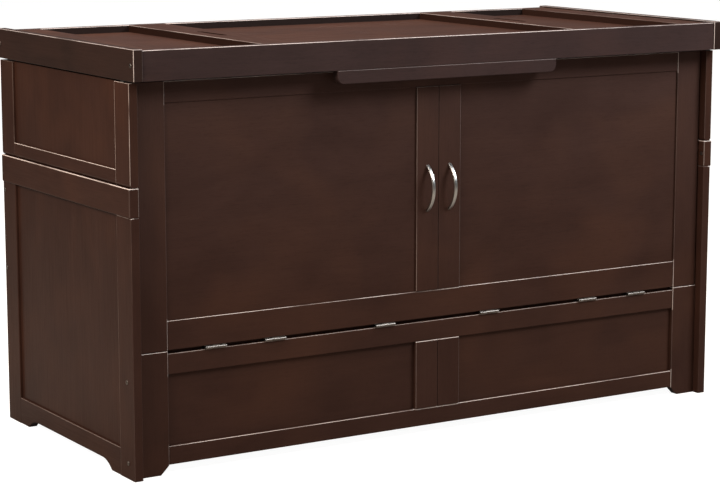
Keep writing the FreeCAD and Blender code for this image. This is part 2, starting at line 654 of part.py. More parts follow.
def make_handle(name, x):
    """A bow pull: a flat section turned about an axis behind the face, and cut off flush with the face."""
    body = doc.addObject("PartDesign::Body", name)
    body.Label = name
    section = body.newObject("Sketcher::SketchObject", f"{name}_section")
    section.AttachmentSupport = [(origin_plane(body, "XY_Plane"), "")]
    section.MapMode = "FlatFace"
    width, thick, chord, rise = (float(dims.get(alias)) for alias in
                                 ("handle_width", "handle_thick", "handle_chord", "handle_rise"))
    reach = (chord * chord / 4 + rise * rise) / (2 * rise) + thick / 2
    corners = [FreeCAD.Vector(side * width / 2, depth, 0)
               for side, depth in ((-1, -reach), (1, -reach), (1, thick - reach), (-1, thick - reach))]
    for start, end in zip(corners, corners[1:] + corners[:1]):
        section.addGeometry(Part.LineSegment(start, end), False)
    for line in range(4):
        section.addConstraint(Sketcher.Constraint("Coincident", line, 2, (line + 1) % 4, 1))
    for line, kind in ((1, "Vertical"), (2, "Horizontal"), (3, "Vertical")):
        section.addConstraint(Sketcher.Constraint(kind, line))
    section.addConstraint(Sketcher.Constraint("Symmetric", 0, 1, 0, 2, -2))
    radius = "((handle_chord * handle_chord / 4 + handle_rise * handle_rise) / (2 * handle_rise))"
    driven = (("DistanceX", (0, 1, 0, 2), width, "handle_width"),
              ("DistanceY", (1, 1, 1, 2), thick, "handle_thick"),
              ("DistanceY", (0, 1, -1, 1), reach, f"{radius} + handle_thick / 2"))
    for kind, ends, start_size, formula in driven:
        number = section.addConstraint(Sketcher.Constraint(kind, *ends, start_size))
        bind(section, f"Constraints[{number}]", formula)
    bow = body.newObject("PartDesign::Revolution", f"{name}_bow")
    bow.Profile = section
    bow.ReferenceAxis = (section, ["H_Axis"])
    bow.Midplane = True
    bow.Angle = BOW_TURN
    doc.recompute()
    round_edges(body, lambda edge: edge.Curve.TypeId == "Part::GeomCircle", "handle_rounding")
    behind = body.newObject("PartDesign::SubtractiveBox", f"{name}_flush")
    bind(behind, "Length", "handle_width + 2 * overshoot")
    bind(behind, "Width", f"{radius} * 2")
    bind(behind, "Height", f"{radius} * 4")
    place(behind, "-handle_width / 2 - overshoot", f"handle_rise - {radius}", f"-2 * {radius}")
    place(body, x, f"{FACE} - handle_rise + {radius}", "handle_height")
    doc.recompute()
    return body


# ---- Back and head deck --------------------------------------------------------------------------

def make_back(fixings):
    """The back between the sides: three stiles, two rails and two panels."""
    y = (BACK_INNER, SIDE_BACK)
    panel_y = (f"{SIDE_BACK} - back_panel_set - back_panel_thick", f"{SIDE_BACK} - back_panel_set")
    low_z = ("toe_height", "toe_height + back_stile_width")
    high_z = (f"{SIDES_TOP} - back_stile_width", SIDES_TOP)
    stile_edge = f"({SIDE_INNER} - back_stile_width)"
    panel_z = (f"{low_z[1]} - groove_depth", f"{high_z[0]} + groove_depth")
    spaces = [(on_side(side, "back_stile_width / 2 - groove_depth", f"{stile_edge} + groove_depth"),
               panel_y, panel_z) for side in SIDES]
    stiles = [board("back_stile_centre", ("-back_stile_width / 2", "back_stile_width / 2"), y,
                    (low_z[1], high_z[0]), eased="z", grooves=spaces)]
    for side, space in zip(SIDES, spaces):
        stile = board(f"back_stile_{side}", on_side(side, stile_edge, SIDE_INNER), y,
                      ("toe_height", SIDES_TOP), eased="z", grooves=[space])
        for wood, start, length in fixings[side]:
            if wood == "leg_rear":
                drill(stile, "x", start, length, "bolt_radius + hole_clearance")
        stiles.append(stile)
    rail_x = (f"-{stile_edge}", stile_edge)
    rails = [board(f"back_{which}_rail", rail_x, y, z, eased="x", grooves=spaces)
             for which, z in (("bottom", low_z), ("top", high_z))]
    panels = [board(f"back_panel_{side}", *space) for side, space in zip(SIDES, spaces)]
    return [group("back_stiles", stiles), group("back_rails", rails), group("back_panels", panels)]


SLATS_EACH_SIDE = 5


def make_head_deck():
    """Slats from front to rear on two bearers: the part of the platform that stays in the cabinet."""
    under = f"({DECK_TOP} - slat_thick)"
    z = (f"{under} - bearer_height", under)
    bearers = [board("front_bearer", (f"-{SIDE_INNER}", SIDE_INNER),
                     (FRONT_INNER, f"{FRONT_INNER} + bearer_thick"), z, eased="x"),
               board("rear_bearer", (f"-{SIDE_INNER}", SIDE_INNER),
                     (f"{BACK_INNER} - bearer_thick", BACK_INNER), z, eased="x")]
    slat_y = (f"{FRONT_INNER} + slat_gap", f"{BACK_INNER} - slat_gap")
    pitch = f"(({SIDE_INNER} - slat_side_gap - slat_width / 2) / {SLATS_EACH_SIDE})"
    slats = []
    for number, step in enumerate(range(-SLATS_EACH_SIDE, SLATS_EACH_SIDE + 1), start=1):
        slat_x = (f"{step} * {pitch} - slat_width / 2", f"{step} * {pitch} + slat_width / 2")
        slats.append(board(f"slat_{number}", slat_x, slat_y, (under, DECK_TOP), eased="y"))
    return [group("head_bearers", bearers), group("head_slats", slats)]


# ---- Foot deck and folding legs ------------------------------------------------------------------

FOOT_TOP_Y = f"({FRONT_INNER} + foot_gap)"
FOOT_UNDER_Y = f"({FOOT_TOP_Y} + foot_thick)"
FOOT_LOW = f"({DECK_TOP} + foot_lift)"
FOOT_HIGH = DOOR_TOP
FOOT_EDGE = f"({SIDE_INNER} - foot_side_gap)"
MIDDLE_LEG_X = f"({FOOT_EDGE} - middle_leg_inset)"
FOOT_LEG_X = f"({FOOT_EDGE} - foot_leg_inset)"
LEG_AXIS_Y = f"({FOOT_UNDER_Y} + leg_axis_drop)"
LEG_REACH = "(hinge_height + deck_rise - foot_thick - leg_axis_drop - floor_clearance)"


def make_foot_deck():
    """The second folding section, hanging folded behind the door, top face towards the door."""
    y = (FOOT_TOP_Y, FOOT_UNDER_Y)
    panel_y = (f"{FOOT_TOP_Y} + foot_panel_set", f"{FOOT_TOP_Y} + foot_panel_set + foot_panel_thick")
    low_z = (FOOT_LOW, f"{FOOT_LOW} + foot_board_width")
    high_z = (f"{FOOT_HIGH} - foot_board_width", FOOT_HIGH)
    edge = f"({FOOT_EDGE} - foot_board_width)"
    panel_z = (f"{low_z[1]} - groove_depth", f"{high_z[0]} + groove_depth")
    spaces = [(on_side(side, "foot_board_width / 2 - groove_depth", f"{edge} + groove_depth"),
               panel_y, panel_z) for side in SIDES]
    frame = [board("foot_centre_board", ("-foot_board_width / 2", "foot_board_width / 2"), y,
                   (low_z[1], high_z[0]), eased="z", grooves=spaces)]
    for side, space in zip(SIDES, spaces):
        frame.append(board(f"foot_edge_board_{side}", on_side(side, edge, FOOT_EDGE), y,
                           (FOOT_LOW, FOOT_HIGH), eased="z", grooves=[space]))
    for which, z in (("far", low_z), ("near", high_z)):
        frame.append(board(f"foot_{which}_board", (f"-{edge}", edge), y, z, eased="x", grooves=spaces))
    panels = [board(f"foot_panel_{side}", *space) for side, space in zip(SIDES, spaces)]
    return [group("foot_deck_frame", frame), group("foot_deck_panels", panels)]


def make_leg_frame(name, half_width, axis_z, towards):
    """A leg frame bent from one tube: pivot bar, two bends, two legs that lie flat under the foot deck.

    `towards` is +1 where the folded legs point up, -1 where they point down.
    """
    shapes = [rod(f"{name}_bar", "x", (f"leg_bend_radius - {half_width}", LEG_AXIS_Y, axis_z),
                  f"2 * ({half_width} - leg_bend_radius)", "leg_tube_radius")]
    bend_z = f"{axis_z} + {towards} * leg_bend_radius"
    tip = f"({axis_z} + {towards} * {LEG_REACH})"
    for side in SIDES:
        sign = -1 if side == "left" else 1
        bend = doc.addObject("Part::Torus", f"{name}_bend_{side}")
        bind(bend, "Radius1", "leg_bend_radius")
        bind(bend, "Radius2", "leg_tube_radius")
        bend.Angle3 = 90
        quarter = {(1, 1): -90, (-1, 1): 180, (1, -1): 0, (-1, -1): 90}[(sign, towards)]
        upright = FreeCAD.Rotation(FreeCAD.Vector(1, 0, 0), 90)
        turned = FreeCAD.Rotation(FreeCAD.Vector(0, -1, 0), quarter)
        bend.Placement = FreeCAD.Placement(FreeCAD.Vector(), turned * upright)
        place(bend, f"{sign} * ({half_width} - leg_bend_radius)", LEG_AXIS_Y, bend_z)
        shapes.append(bend)
        low, high = (bend_z, f"{tip} - cap_wall") if towards > 0 else (f"{tip} + cap_wall", bend_z)
        shapes.append(rod(f"{name}_leg_{side}", "z", (f"{sign} * {half_width}", LEG_AXIS_Y, low),
                          f"({high}) - ({low})", "leg_tube_radius"))
    frame = fused(name, shapes)
    frame.Label = name
    return frame, tip


def make_leg_caps(name, half_width, tip, towards):
    """Rubber caps over the two ends of a leg frame."""
    caps = []
    for side in SIDES:
        sign = -1 if side == "left" else 1
        x = f"{sign} * {half_width}"
        low = f"{tip} - cap_length" if towards > 0 else tip
        bore_low = f"{low} - overshoot" if towards > 0 else f"{low} + cap_wall"
        outside = rod(f"{name}_{side}_outside", "z", (x, LEG_AXIS_Y, low), "cap_length",
                      "leg_tube_radius + cap_wall")
        bore = rod(f"{name}_{side}_bore", "z", (x, LEG_AXIS_Y, bore_low), "cap_length - cap_wall + overshoot",
                   "leg_tube_radius")
        caps.append(without(f"{name}_{side}", outside, bore))
    return group(name, caps)


def make_brackets(frames):
    """Saddle brackets that hold the pivot bars of the leg frames under the foot deck."""
    brackets = []
    for name, half_width, axis_z in frames:
        for side in SIDES:
            sign = -1 if side == "left" else 1
            middle = f"{sign} * ({half_width} - bracket_inset)"
            x = (f"{middle} - bracket_width / 2", f"{middle} + bracket_width / 2")
            body = block(f"{name}_bracket_{side}_block", x,
                         (FOOT_UNDER_Y, f"{LEG_AXIS_Y} + bracket_size / 2"),
                         (f"{axis_z} - bracket_size / 2", f"{axis_z} + bracket_size / 2"))
            bore = rod(f"{name}_bracket_{side}_bore", "x", (f"{x[0]} - overshoot", LEG_AXIS_Y, axis_z),
                       "bracket_width + 2 * overshoot", "leg_tube_radius + bracket_clearance")
            brackets.append(without(f"{name}_bracket_{side}", body, bore))
    return group("leg_brackets", brackets)


def make_legs():
    """Two leg frames, their caps and their brackets."""
    middle_z = f"({FOOT_HIGH} - leg_place)"
    foot_z = f"({FOOT_LOW} + leg_place)"
    middle, middle_tip = make_leg_frame("middle_leg_frame", MIDDLE_LEG_X, middle_z, -1)
    foot, foot_tip = make_leg_frame("foot_leg_frame", FOOT_LEG_X, foot_z, 1)
    return [middle, foot,
            make_leg_caps("middle_leg_caps", MIDDLE_LEG_X, middle_tip, -1),
            make_leg_caps("foot_leg_caps", FOOT_LEG_X, foot_tip, 1),
            make_brackets((("middle", MIDDLE_LEG_X, middle_z), ("foot", FOOT_LEG_X, foot_z)))]


# ---- Hinges, bolts and pads ----------------------------------------------------------------------

FRONT_HINGES = ("front_hinge_inner", f"({STILE_EDGE} - front_hinge_middle)",
                f"({STILE_EDGE} - front_hinge_outer)")
REAR_HINGE = f"({SIDE_INNER} - rear_hinge_inset)"
REAR_HINGES = (f"-{REAR_HINGE}", "0", REAR_HINGE)
FRONT_AXIS_Y = f"({FACE} - hinge_proud)"
LID_AXIS_Y = f"({LID_BACK} - knuckle_radius)"
LID_AXIS_Z = f"({LID_BOTTOM} - lid_gap / 2)"
FOOT_AXIS_Y = f"({FRONT_INNER} + foot_gap / 2)"
FOOT_AXIS_Z = f"({DOOR_TOP} + foot_hinge_rise)"


def make_hinges():
    """All hinges: each set gives a node of leaves on each of its two bodies, and a node of pins."""
    sets = (
        ("front_hinge", "base", "door", "front_hinge_length", FRONT_AXIS_Y, "hinge_height",
         [f"{sign}{spot}" for spot in FRONT_HINGES for sign in ("-", "")],
         ((1, BASE_RAIL_TOP), (1, f"{DOOR_BOTTOM} - leaf_thick"))),
        ("lid_hinge", "back", "lid", "rear_hinge_length", LID_AXIS_Y, LID_AXIS_Z,
         REAR_HINGES,
         ((-1, SIDES_TOP), (-1, f"{LID_BOTTOM} - leaf_thick"))),
        ("foot_hinge", "door", "foot", "rear_hinge_length", FOOT_AXIS_Y, FOOT_AXIS_Z,
         REAR_HINGES,
         ((-1, DOOR_TOP), (1, FOOT_HIGH))),
    )
    nodes = []
    for name, first, second, length, axis_y, axis_z, places, leaves in sets:
        parts = [hinge(f"{name}_{number}", spot, length, axis_y, axis_z, leaves)
                 for number, spot in enumerate(places, start=1)]
        nodes += [group(f"{name}_{first}_leaves", [part[0] for part in parts]),
                  group(f"{name}_{second}_leaves", [part[1] for part in parts]),
                  group(f"{name}_pins", [part[2] for part in parts])]
    return nodes


def make_side_bolts():
    """The bolts that hold the sides to the base front and to the back, and where they go."""
    bolts = []
    fixings = {side: [] for side in SIDES}
    front_y = f"{FACE} + stile_thick / 2"
    back_y = f"{SIDE_BACK} - back_thick / 2"
    for side in SIDES:
        long_bolts = (("leg_front", front_y, "upper_bolt_height"),
                      ("leg_front", front_y, "lower_bolt_height"),
                      ("leg_rear", back_y, "back_bolt_high"),
                      ("leg_rear", back_y, "back_bolt_low"))
        for wood, y, z in long_bolts:
            shape, start = bolt(f"side_bolt_{side}_{len(bolts)}", side, SIDE_OUTER, y, z, "bolt_length")
            bolts.append(shape)
            fixings[side].append((wood, start, "bolt_length"))
        shape, start = bolt(f"side_bolt_{side}_{len(bolts)}", side, SIDE_INNER,
                            f"{SIDE_FRONT} + face_set / 2", f"{CAP_BOTTOM} + cap_rail_height / 2",
                            "cap_screw_length", inwards=False)
        bolts.append(shape)
        fixings[side].append(("cap", start, "cap_screw_length"))
    return group("side_bolts", bolts), fixings


def make_pads():
    """Rest pads on the upper front stiles: the shut lid lies on them."""
    y = f"{SIDE_FRONT} + side_stile_width / 2"
    pads = [block(f"lid_rest_pad_{side}", on_side(side, f"{SIDE_OUTER} - side_thick / 2 - pad_size / 2",
                                                  f"{SIDE_OUTER} - side_thick / 2 + pad_size / 2"),
                  (f"{y} - pad_size / 2", f"{y} + pad_size / 2"), (SIDES_TOP, LID_BOTTOM))
            for side in SIDES]
    return group("lid_rest_pads", pads)


# ---- The whole bed -------------------------------------------------------------------------------

side_bolts, fixing_holes = make_side_bolts()
nodes = [*make_lid(), *make_side("left", fixing_holes), *make_side("right", fixing_holes),
         *make_base(fixing_holes), *make_door(), *make_back(fixing_holes), *make_head_deck(),
         *make_foot_deck(), *make_legs(), *make_hinges(), side_bolts, make_pads()]
doc.recompute()

faulty = [item.Name for item in doc.Objects if "Invalid" in item.State or "Error" in item.State]
faulty += [node.Label for node in nodes if node.Shape.isNull() or not node.Shape.isValid()]
if faulty:
    raise RuntimeError(f"failed: {faulty}")

os.makedirs("parts", exist_ok=True)
for node in nodes:
    node.Shape.exportStep(f"parts/{node.Label}.step")
print(len(nodes), "nodes,", sum(len(node.Shape.Solids) for node in nodes), "solids")
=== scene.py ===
# %% [markdown]
# # A cabinet bed in dark stained wood
# The object is a low wooden cabinet that opens into a bed. Its front folds down, a foot section
# swings out from behind it, and its lid tilts up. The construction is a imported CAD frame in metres,
# standing on the floor at the origin, with its front towards -Y. This script gives every piece its
# finish, adds the small hardware that a maker would buy in, and sets up the photograph.

# %% Load the frame
import bmesh
import bpy
import math
from mathutils import Matrix, Vector


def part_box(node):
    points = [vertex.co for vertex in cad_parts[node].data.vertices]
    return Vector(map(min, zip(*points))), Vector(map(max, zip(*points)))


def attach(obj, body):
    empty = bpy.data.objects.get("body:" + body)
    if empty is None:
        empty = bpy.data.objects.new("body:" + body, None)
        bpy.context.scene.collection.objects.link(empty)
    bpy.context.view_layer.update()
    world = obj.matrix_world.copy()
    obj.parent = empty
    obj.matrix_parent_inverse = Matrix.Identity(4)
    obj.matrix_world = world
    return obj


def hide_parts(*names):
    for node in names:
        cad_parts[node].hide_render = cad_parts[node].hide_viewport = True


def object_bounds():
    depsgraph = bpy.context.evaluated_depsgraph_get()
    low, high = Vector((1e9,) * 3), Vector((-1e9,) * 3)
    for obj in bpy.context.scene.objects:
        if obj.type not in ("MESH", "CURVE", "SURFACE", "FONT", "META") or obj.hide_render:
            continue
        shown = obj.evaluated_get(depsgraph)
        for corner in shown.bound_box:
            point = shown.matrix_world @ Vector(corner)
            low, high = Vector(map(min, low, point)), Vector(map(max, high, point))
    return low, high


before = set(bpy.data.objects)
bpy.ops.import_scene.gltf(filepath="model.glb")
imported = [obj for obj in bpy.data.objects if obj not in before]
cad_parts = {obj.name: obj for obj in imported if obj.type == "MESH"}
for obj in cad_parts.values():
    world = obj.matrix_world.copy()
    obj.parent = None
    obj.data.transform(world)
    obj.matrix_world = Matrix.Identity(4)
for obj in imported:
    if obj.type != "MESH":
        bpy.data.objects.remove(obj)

scene = bpy.context.scene
cad_low, cad_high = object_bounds()
print("cabinet box:", tuple(cad_low), tuple(cad_high))

# %% [markdown]
# ## The camera
# The photograph is taken from the left, a little above the lid, with a longish lens. The place and
# the turn of the camera were found by matching the cabinet's own corners. The lens is kept as the
# photograph's field of view, because the perspective of the top depends on it. The camera tips down
# instead of shifting its lens, so that the same camera also works for other views.

# %% Place the camera
CAMERA_PLACE = (-2.925, -4.690, 1.352)
TURN_RIGHT, TIP_DOWN = math.radians(31.78), math.radians(9.68)
SENSOR_MM, LENS_MM = 36.0, 112.9
NEAREST_SEEN, FARTHEST_SEEN = 0.1, 60.0

camera_data = bpy.data.cameras.new("photo_camera")
camera_data.sensor_width = SENSOR_MM
camera_data.lens = LENS_MM
camera_data.clip_start = NEAREST_SEEN
camera_data.clip_end = FARTHEST_SEEN
camera = bpy.data.objects.new("photo_camera", camera_data)
camera.location = CAMERA_PLACE
camera.rotation_euler = (math.pi / 2 - TIP_DOWN, 0.0, -TURN_RIGHT)
scene.collection.objects.link(camera)
scene.camera = camera
print("camera place:", CAMERA_PLACE, "lens:", LENS_MM)

# %% [markdown]
# ## Floor and light
# The background of the photograph is plain white. A large floor sheet glows just enough to show white
# to the camera, and keeps the soft shadow of the cabinet. The world behind it is white for the same
# reason. Dark lacquer mirrors whatever stands round it, and a white room all round would turn it grey,
# so reflections get only a share of that white. A Light Path node tells the kinds of rays apart.

# %% Tell the kinds of rays apart
REFLECTED_SHARE = 0.08


def math_node(tree, operation, *values, clamp=False):
    """A math node on sockets and plain numbers."""
    node = tree.nodes.new("ShaderNodeMath")
    node.operation = operation
    node.use_clamp = clamp
    for socket, value in zip(node.inputs, values):
        if isinstance(value, bpy.types.NodeSocket):
            tree.links.new(value, socket)
        else:
            socket.default_value = value
    return node.outputs[0]


def seen_white(tree):
    """How white the room is to a ray, and whether the ray sees the room at all.

    The first is 1 for the camera's own rays, REFLECTED_SHARE in a reflection or through glass, and 0
    for stray light. The second is 1 for both of the first two kinds.
    """
    path = tree.nodes.new("ShaderNodeLightPath")
    direct = path.outputs["Is Camera Ray"]
    bounced = math_node(tree, "MAXIMUM", path.outputs["Is Glossy Ray"], path.outputs["Is Transmission Ray"])
    brightness = math_node(tree, "MULTIPLY_ADD", bounced, REFLECTED_SHARE, direct, clamp=True)
    is_seen = math_node(tree, "MAXIMUM", bounced, direct)
    return brightness, is_seen


print("share of the white room in reflections:", REFLECTED_SHARE)

# %% Make the floor
FLOOR_SIZE = 30.0
FLOOR_DROP = 0.0005
FLOOR_COLOR = (0.24, 0.21, 0.18)
FLOOR_GLOW = 0.96
WHITE = (1.0, 1.0, 1.0)

floor_material = bpy.data.materials.new("white_floor")
floor_material.use_nodes = True
tree = floor_material.node_tree
tree.nodes.clear()
paper = tree.nodes.new("ShaderNodeBsdfDiffuse")
paper.inputs["Color"].default_value = (*FLOOR_COLOR, 1.0)
glow = tree.nodes.new("ShaderNodeEmission")
glow.inputs["Color"].default_value = (*WHITE, 1.0)
glow_amount = math_node(tree, "MULTIPLY", seen_white(tree)[0], FLOOR_GLOW)
tree.links.new(glow_amount, glow.inputs["Strength"])
floor_sum = tree.nodes.new("ShaderNodeAddShader")
tree.links.new(paper.outputs[0], floor_sum.inputs[0])
tree.links.new(glow.outputs[0], floor_sum.inputs[1])
floor_output = tree.nodes.new("ShaderNodeOutputMaterial")
tree.links.new(floor_sum.outputs[0], floor_output.inputs["Surface"])

floor_mesh = bmesh.new()
bmesh.ops.create_grid(floor_mesh, x_segments=2, y_segments=2, size=FLOOR_SIZE / 2)
floor_data = bpy.data.meshes.new("floor")
floor_mesh.to_mesh(floor_data)
floor_mesh.free()
floor_data.materials.append(floor_material)
floor = bpy.data.objects.new("floor", floor_data)
floor.location.z = -FLOOR_DROP
scene.collection.objects.link(floor)
print("floor sheet:", FLOOR_SIZE, "m wide")

# %% Make the white world
WORLD_FILL = 0.26
FILL_COLOR = (1.0, 0.93, 0.84)

world = bpy.data.worlds.new("white_room")
scene.world = world
world.use_nodes = True
tree = world.node_tree
tree.nodes.clear()
backdrop = tree.nodes.new("ShaderNodeBackground")
backdrop.inputs["Color"].default_value = (*WHITE, 1.0)
fill = tree.nodes.new("ShaderNodeBackground")
fill.inputs["Color"].default_value = (*FILL_COLOR, 1.0)
fill.inputs["Strength"].default_value = WORLD_FILL
brightness, is_seen = seen_white(tree)
tree.links.new(brightness, backdrop.inputs["Strength"])
world_mix = tree.nodes.new("ShaderNodeMixShader")
tree.links.new(is_seen, world_mix.inputs[0])
tree.links.new(fill.outputs[0], world_mix.inputs[1])
tree.links.new(backdrop.outputs[0], world_mix.inputs[2])
world_output = tree.nodes.new("ShaderNodeOutputWorld")
tree.links.new(world_mix.outputs[0], world_output.inputs["Surface"])
print("the room's own fill:", WORLD_FILL)

# %% [markdown]
# The lamps are wide soft boxes, because the photograph's shadows have soft edges: a slightly cool one
# from the upper right in front, a wide one overhead for the top and one high on the left for the side.
# A weak low one in front lightens the shadow under the lid, and one behind serves the other views.
# These two would glare in the lacquer, so they are left out of reflections. The room's own fill is a
# little warm, so the foot of the cabinet is browner than its top.

# %% Hang the soft boxes
COOL, WARM = (0.84, 0.93, 1.0), (1.0, 0.90, 0.80)
middle = (cad_low + cad_high) / 2


def soft_box(name, place, size, watts, color=WHITE, mirrored=True):
    """A rectangular area lamp that looks at the middle of the cabinet."""
    data = bpy.data.lights.new(name, "AREA")
    data.shape = "RECTANGLE"
    data.size, data.size_y = size
    data.energy = watts
    data.color = color
    lamp = bpy.data.objects.new(name, data)
    lamp.location = place
    lamp.rotation_euler = (middle - Vector(place)).to_track_quat("-Z", "Y").to_euler()
    lamp.visible_glossy = mirrored
    scene.collection.objects.link(lamp)
    print("soft box", name, "of", watts, "W")


soft_box("key_right_front", (1.9, -2.4, 2.9), (1.4, 1.4), 162.0, COOL)
soft_box("overhead", (-0.5, 0.3, 3.4), (3.0, 2.0), 188.0)
soft_box("fill_front", (-0.6, -4.2, 0.8), (3.0, 1.0), 18.0, COOL, mirrored=False)
soft_box("fill_left", (-3.2, -0.9, 2.5), (1.4, 1.8), 118.0, WARM)
soft_box("fill_back", (0.5, 3.8, 2.6), (2.4, 1.6), 120.0, mirrored=False)

# %% [markdown]
# ## Wood
# The case is stained almost black-brown under a satin lacquer. Three things show on it: broad
# cloudy patches where the wood took more or less stain, fine streaks along the grain, and thin light
# lines on the eased edges, which are painted highlights. A picture of wood could give the first two, but it
# would repeat from board to board. So they are made from noise stretched along the grain of each
# board, and the grain turns with the boards: upright in the stiles, level in the rails. All the wood
# finishes share this effect, so it is a node group.

# %% Stretch and spread noise


def noise(tree, vector, scale, detail, distortion=0.0):
    """A noise texture's value between 0 and 1."""
    node = tree.nodes.new("ShaderNodeTexNoise")
    node.inputs["Scale"].default_value = scale
    node.inputs["Detail"].default_value = detail
    node.inputs["Distortion"].default_value = distortion
    tree.links.new(vector, node.inputs["Vector"])
    return node.outputs["Fac"]


def stretched(tree, vector, scale):
    """The coordinates multiplied by three numbers."""
    node = tree.nodes.new("ShaderNodeVectorMath")
    node.operation = "MULTIPLY"
    node.inputs[1].default_value = scale
    tree.links.new(vector, node.inputs[0])
    return node.outputs[0]


def spread(tree, value, low, high):
    """A value's range between low and high opened out to 0 to 1."""
    node = tree.nodes.new("ShaderNodeMapRange")
    node.inputs["From Min"].default_value = low
    node.inputs["From Max"].default_value = high
    tree.links.new(value, node.inputs["Value"])
    return node.outputs["Result"]


def cloudy(tree, vector, scale, detail, low, high, stretch=None, distortion=0.0):
    """Noise on coordinates, stretched if asked, whose range between low and high becomes 0 to 1."""
    if stretch:
        vector = stretched(tree, vector, stretch)
    return spread(tree, noise(tree, vector, scale, detail, distortion), low, high)


# %% Build the grain group
FLOAT, VECTOR = "NodeSocketFloat", "NodeSocketVector"
# The first number of each stretch is along the grain, and the others are across it.
GRAIN_MARKS = {
    "Patches": dict(stretch=(2.5, 6.0, 6.0), scale=1.6, detail=4.0, distortion=0.8, low=0.32, high=0.68),
    "Streaks": dict(stretch=(9.0, 240.0, 240.0), scale=1.0, detail=4.0, distortion=0.9, low=0.35, high=0.65),
    "Pores": dict(stretch=(60.0, 900.0, 900.0), scale=1.0, detail=1.0, low=0.55, high=0.70),
}


def new_group(name, inputs, outputs):
    """An empty shader node group with named sockets."""
    tree = bpy.data.node_groups.new(name, "ShaderNodeTree")
    for label, kind, value in inputs:
        socket = tree.interface.new_socket(label, in_out="INPUT", socket_type=kind)
        if value is not None:
            socket.default_value = value
    for label, kind in outputs:
        tree.interface.new_socket(label, in_out="OUTPUT", socket_type=kind)
    return tree, tree.nodes.new("NodeGroupInput"), tree.nodes.new("NodeGroupOutput")


grain_group, grain_in, grain_out = new_group(
    "wood_grain",
    [("Vector", VECTOR, None)],
    [(label, FLOAT) for label in GRAIN_MARKS])
for label, settings in GRAIN_MARKS.items():
    mark = cloudy(grain_group, grain_in.outputs["Vector"], **settings)
    grain_group.links.new(mark, grain_out.inputs[label])
print("grain group nodes:", len(grain_group.nodes))

# %% [markdown]
# Every board has its long edges eased with a small round, and each of these rounds gets a painted
# highlight in its colour: a thin light line, strongest where it faces up. A bevel node could find the edges,
# but here the
# rounds are real, so their normals tell: on a flat face the normal lies along one axis, and on a
# round it doesn't. The mask reads the normal in the piece's own space, so it stays when a panel folds.
# Upright rounds are of two kinds: those that turn in, such as a stile's edge beside a panel, and the
# outer corners of the case, where the painted highlight is fainter. The normal's X times its Y tells them
# apart. Its sign is different on the left half and the right half, so X's own sign goes into it too.

# %% Build the eased edge group
FLAT_LEAST, ROUND_MOST = 0.995, 0.93
UP_GAIN, DOWN_GAIN = 3.0, 5.0
BROKEN_LINE = dict(scale=7.0, detail=4.0, low=0.25, high=0.5)


def own_parts(tree, kind):
    """The X, Y and Z of a piece's own coordinates ("Object") or of its own normal ("Normal")."""
    coordinates = tree.nodes.new("ShaderNodeTexCoord")
    parts = tree.nodes.new("ShaderNodeSeparateXYZ")
    tree.links.new(coordinates.outputs[kind], parts.inputs[0])
    return parts.outputs


edge_group, edge_in, edge_out = new_group(
    "eased_edges",
    [("Vector", VECTOR, None), ("Inner", FLOAT, 0.3), ("Corner", FLOAT, 0.1), ("Strength", FLOAT, 1.0)],
    [("Edge", FLOAT)])
normal = own_parts(edge_group, "Normal")
sizes = [math_node(edge_group, "ABSOLUTE", part) for part in normal]
largest = math_node(edge_group, "MAXIMUM", sizes[0], sizes[1])
largest = math_node(edge_group, "MAXIMUM", largest, sizes[2])
on_round = spread(edge_group, largest, FLAT_LEAST, ROUND_MOST)

half = math_node(edge_group, "SIGN", own_parts(edge_group, "Object")["X"])
sideways = math_node(edge_group, "MULTIPLY", normal["X"], normal["Y"])
turned_in = math_node(edge_group, "MULTIPLY_ADD", sideways, half, 0.5, clamp=True)
inner_gain = math_node(edge_group, "SUBTRACT", edge_in.outputs["Inner"], edge_in.outputs["Corner"])
upright = math_node(edge_group, "MULTIPLY_ADD", turned_in, inner_gain, edge_in.outputs["Corner"])
facing_down = math_node(edge_group, "MULTIPLY", normal["Z"], -DOWN_GAIN, clamp=True)
upright = math_node(edge_group, "MULTIPLY", upright, math_node(edge_group, "SUBTRACT", 1.0, facing_down))

# Painted highlight: rounds that face up get the brightest line.
facing_up = math_node(edge_group, "MULTIPLY", normal["Z"], UP_GAIN, clamp=True)
lit = math_node(edge_group, "MAXIMUM", facing_up, upright)
line = math_node(edge_group, "MULTIPLY", on_round, lit)
line = math_node(edge_group, "MULTIPLY", line, cloudy(edge_group, edge_in.outputs["Vector"], **BROKEN_LINE))
line = math_node(edge_group, "MULTIPLY", line, edge_in.outputs["Strength"], clamp=True)
edge_group.links.new(line, edge_out.inputs["Edge"])
print("edge group nodes:", len(edge_group.nodes))

# %% [markdown]
# A finish starts from a Principled shader. The boards run in all three directions, so a Mapping node
# turns the object coordinates until their first axis runs along the board's grain. The groups give
# only masks, and the material itself mixes its colours by them and sets its own gloss.

# %% Start a finish
GRAIN_TURN = {
    "x": (0.0, 0.0, 0.0),
    "y": (0.0, 0.0, -math.pi / 2),
    "z": (0.0, math.pi / 2, 0.0),
}


def new_finish(name):
    """A material with only a Principled shader, its node tree and the shader."""
    material = bpy.data.materials.new(name)
    material.use_nodes = True
    tree = material.node_tree
    return material, tree, tree.nodes["Principled BSDF"]


def grain_vector(tree, grain):
    """Object coordinates turned so that their first axis runs along the grain."""
    coordinates = tree.nodes.new("ShaderNodeTexCoord")
    turn = tree.nodes.new("ShaderNodeMapping")
    turn.inputs["Rotation"].default_value = GRAIN_TURN[grain]
    tree.links.new(coordinates.outputs["Object"], turn.inputs["Vector"])
    return turn.outputs["Vector"]


def placed(tree, group, vector, **values):
    """A node group put into a material on some coordinates, with its plain values set."""
    node = tree.nodes.new("ShaderNodeGroup")
    node.node_tree = group
    tree.links.new(vector, node.inputs["Vector"])
    for label, value in values.items():
        node.inputs[label].default_value = value
    return node


# %% Mix colours and set the relief


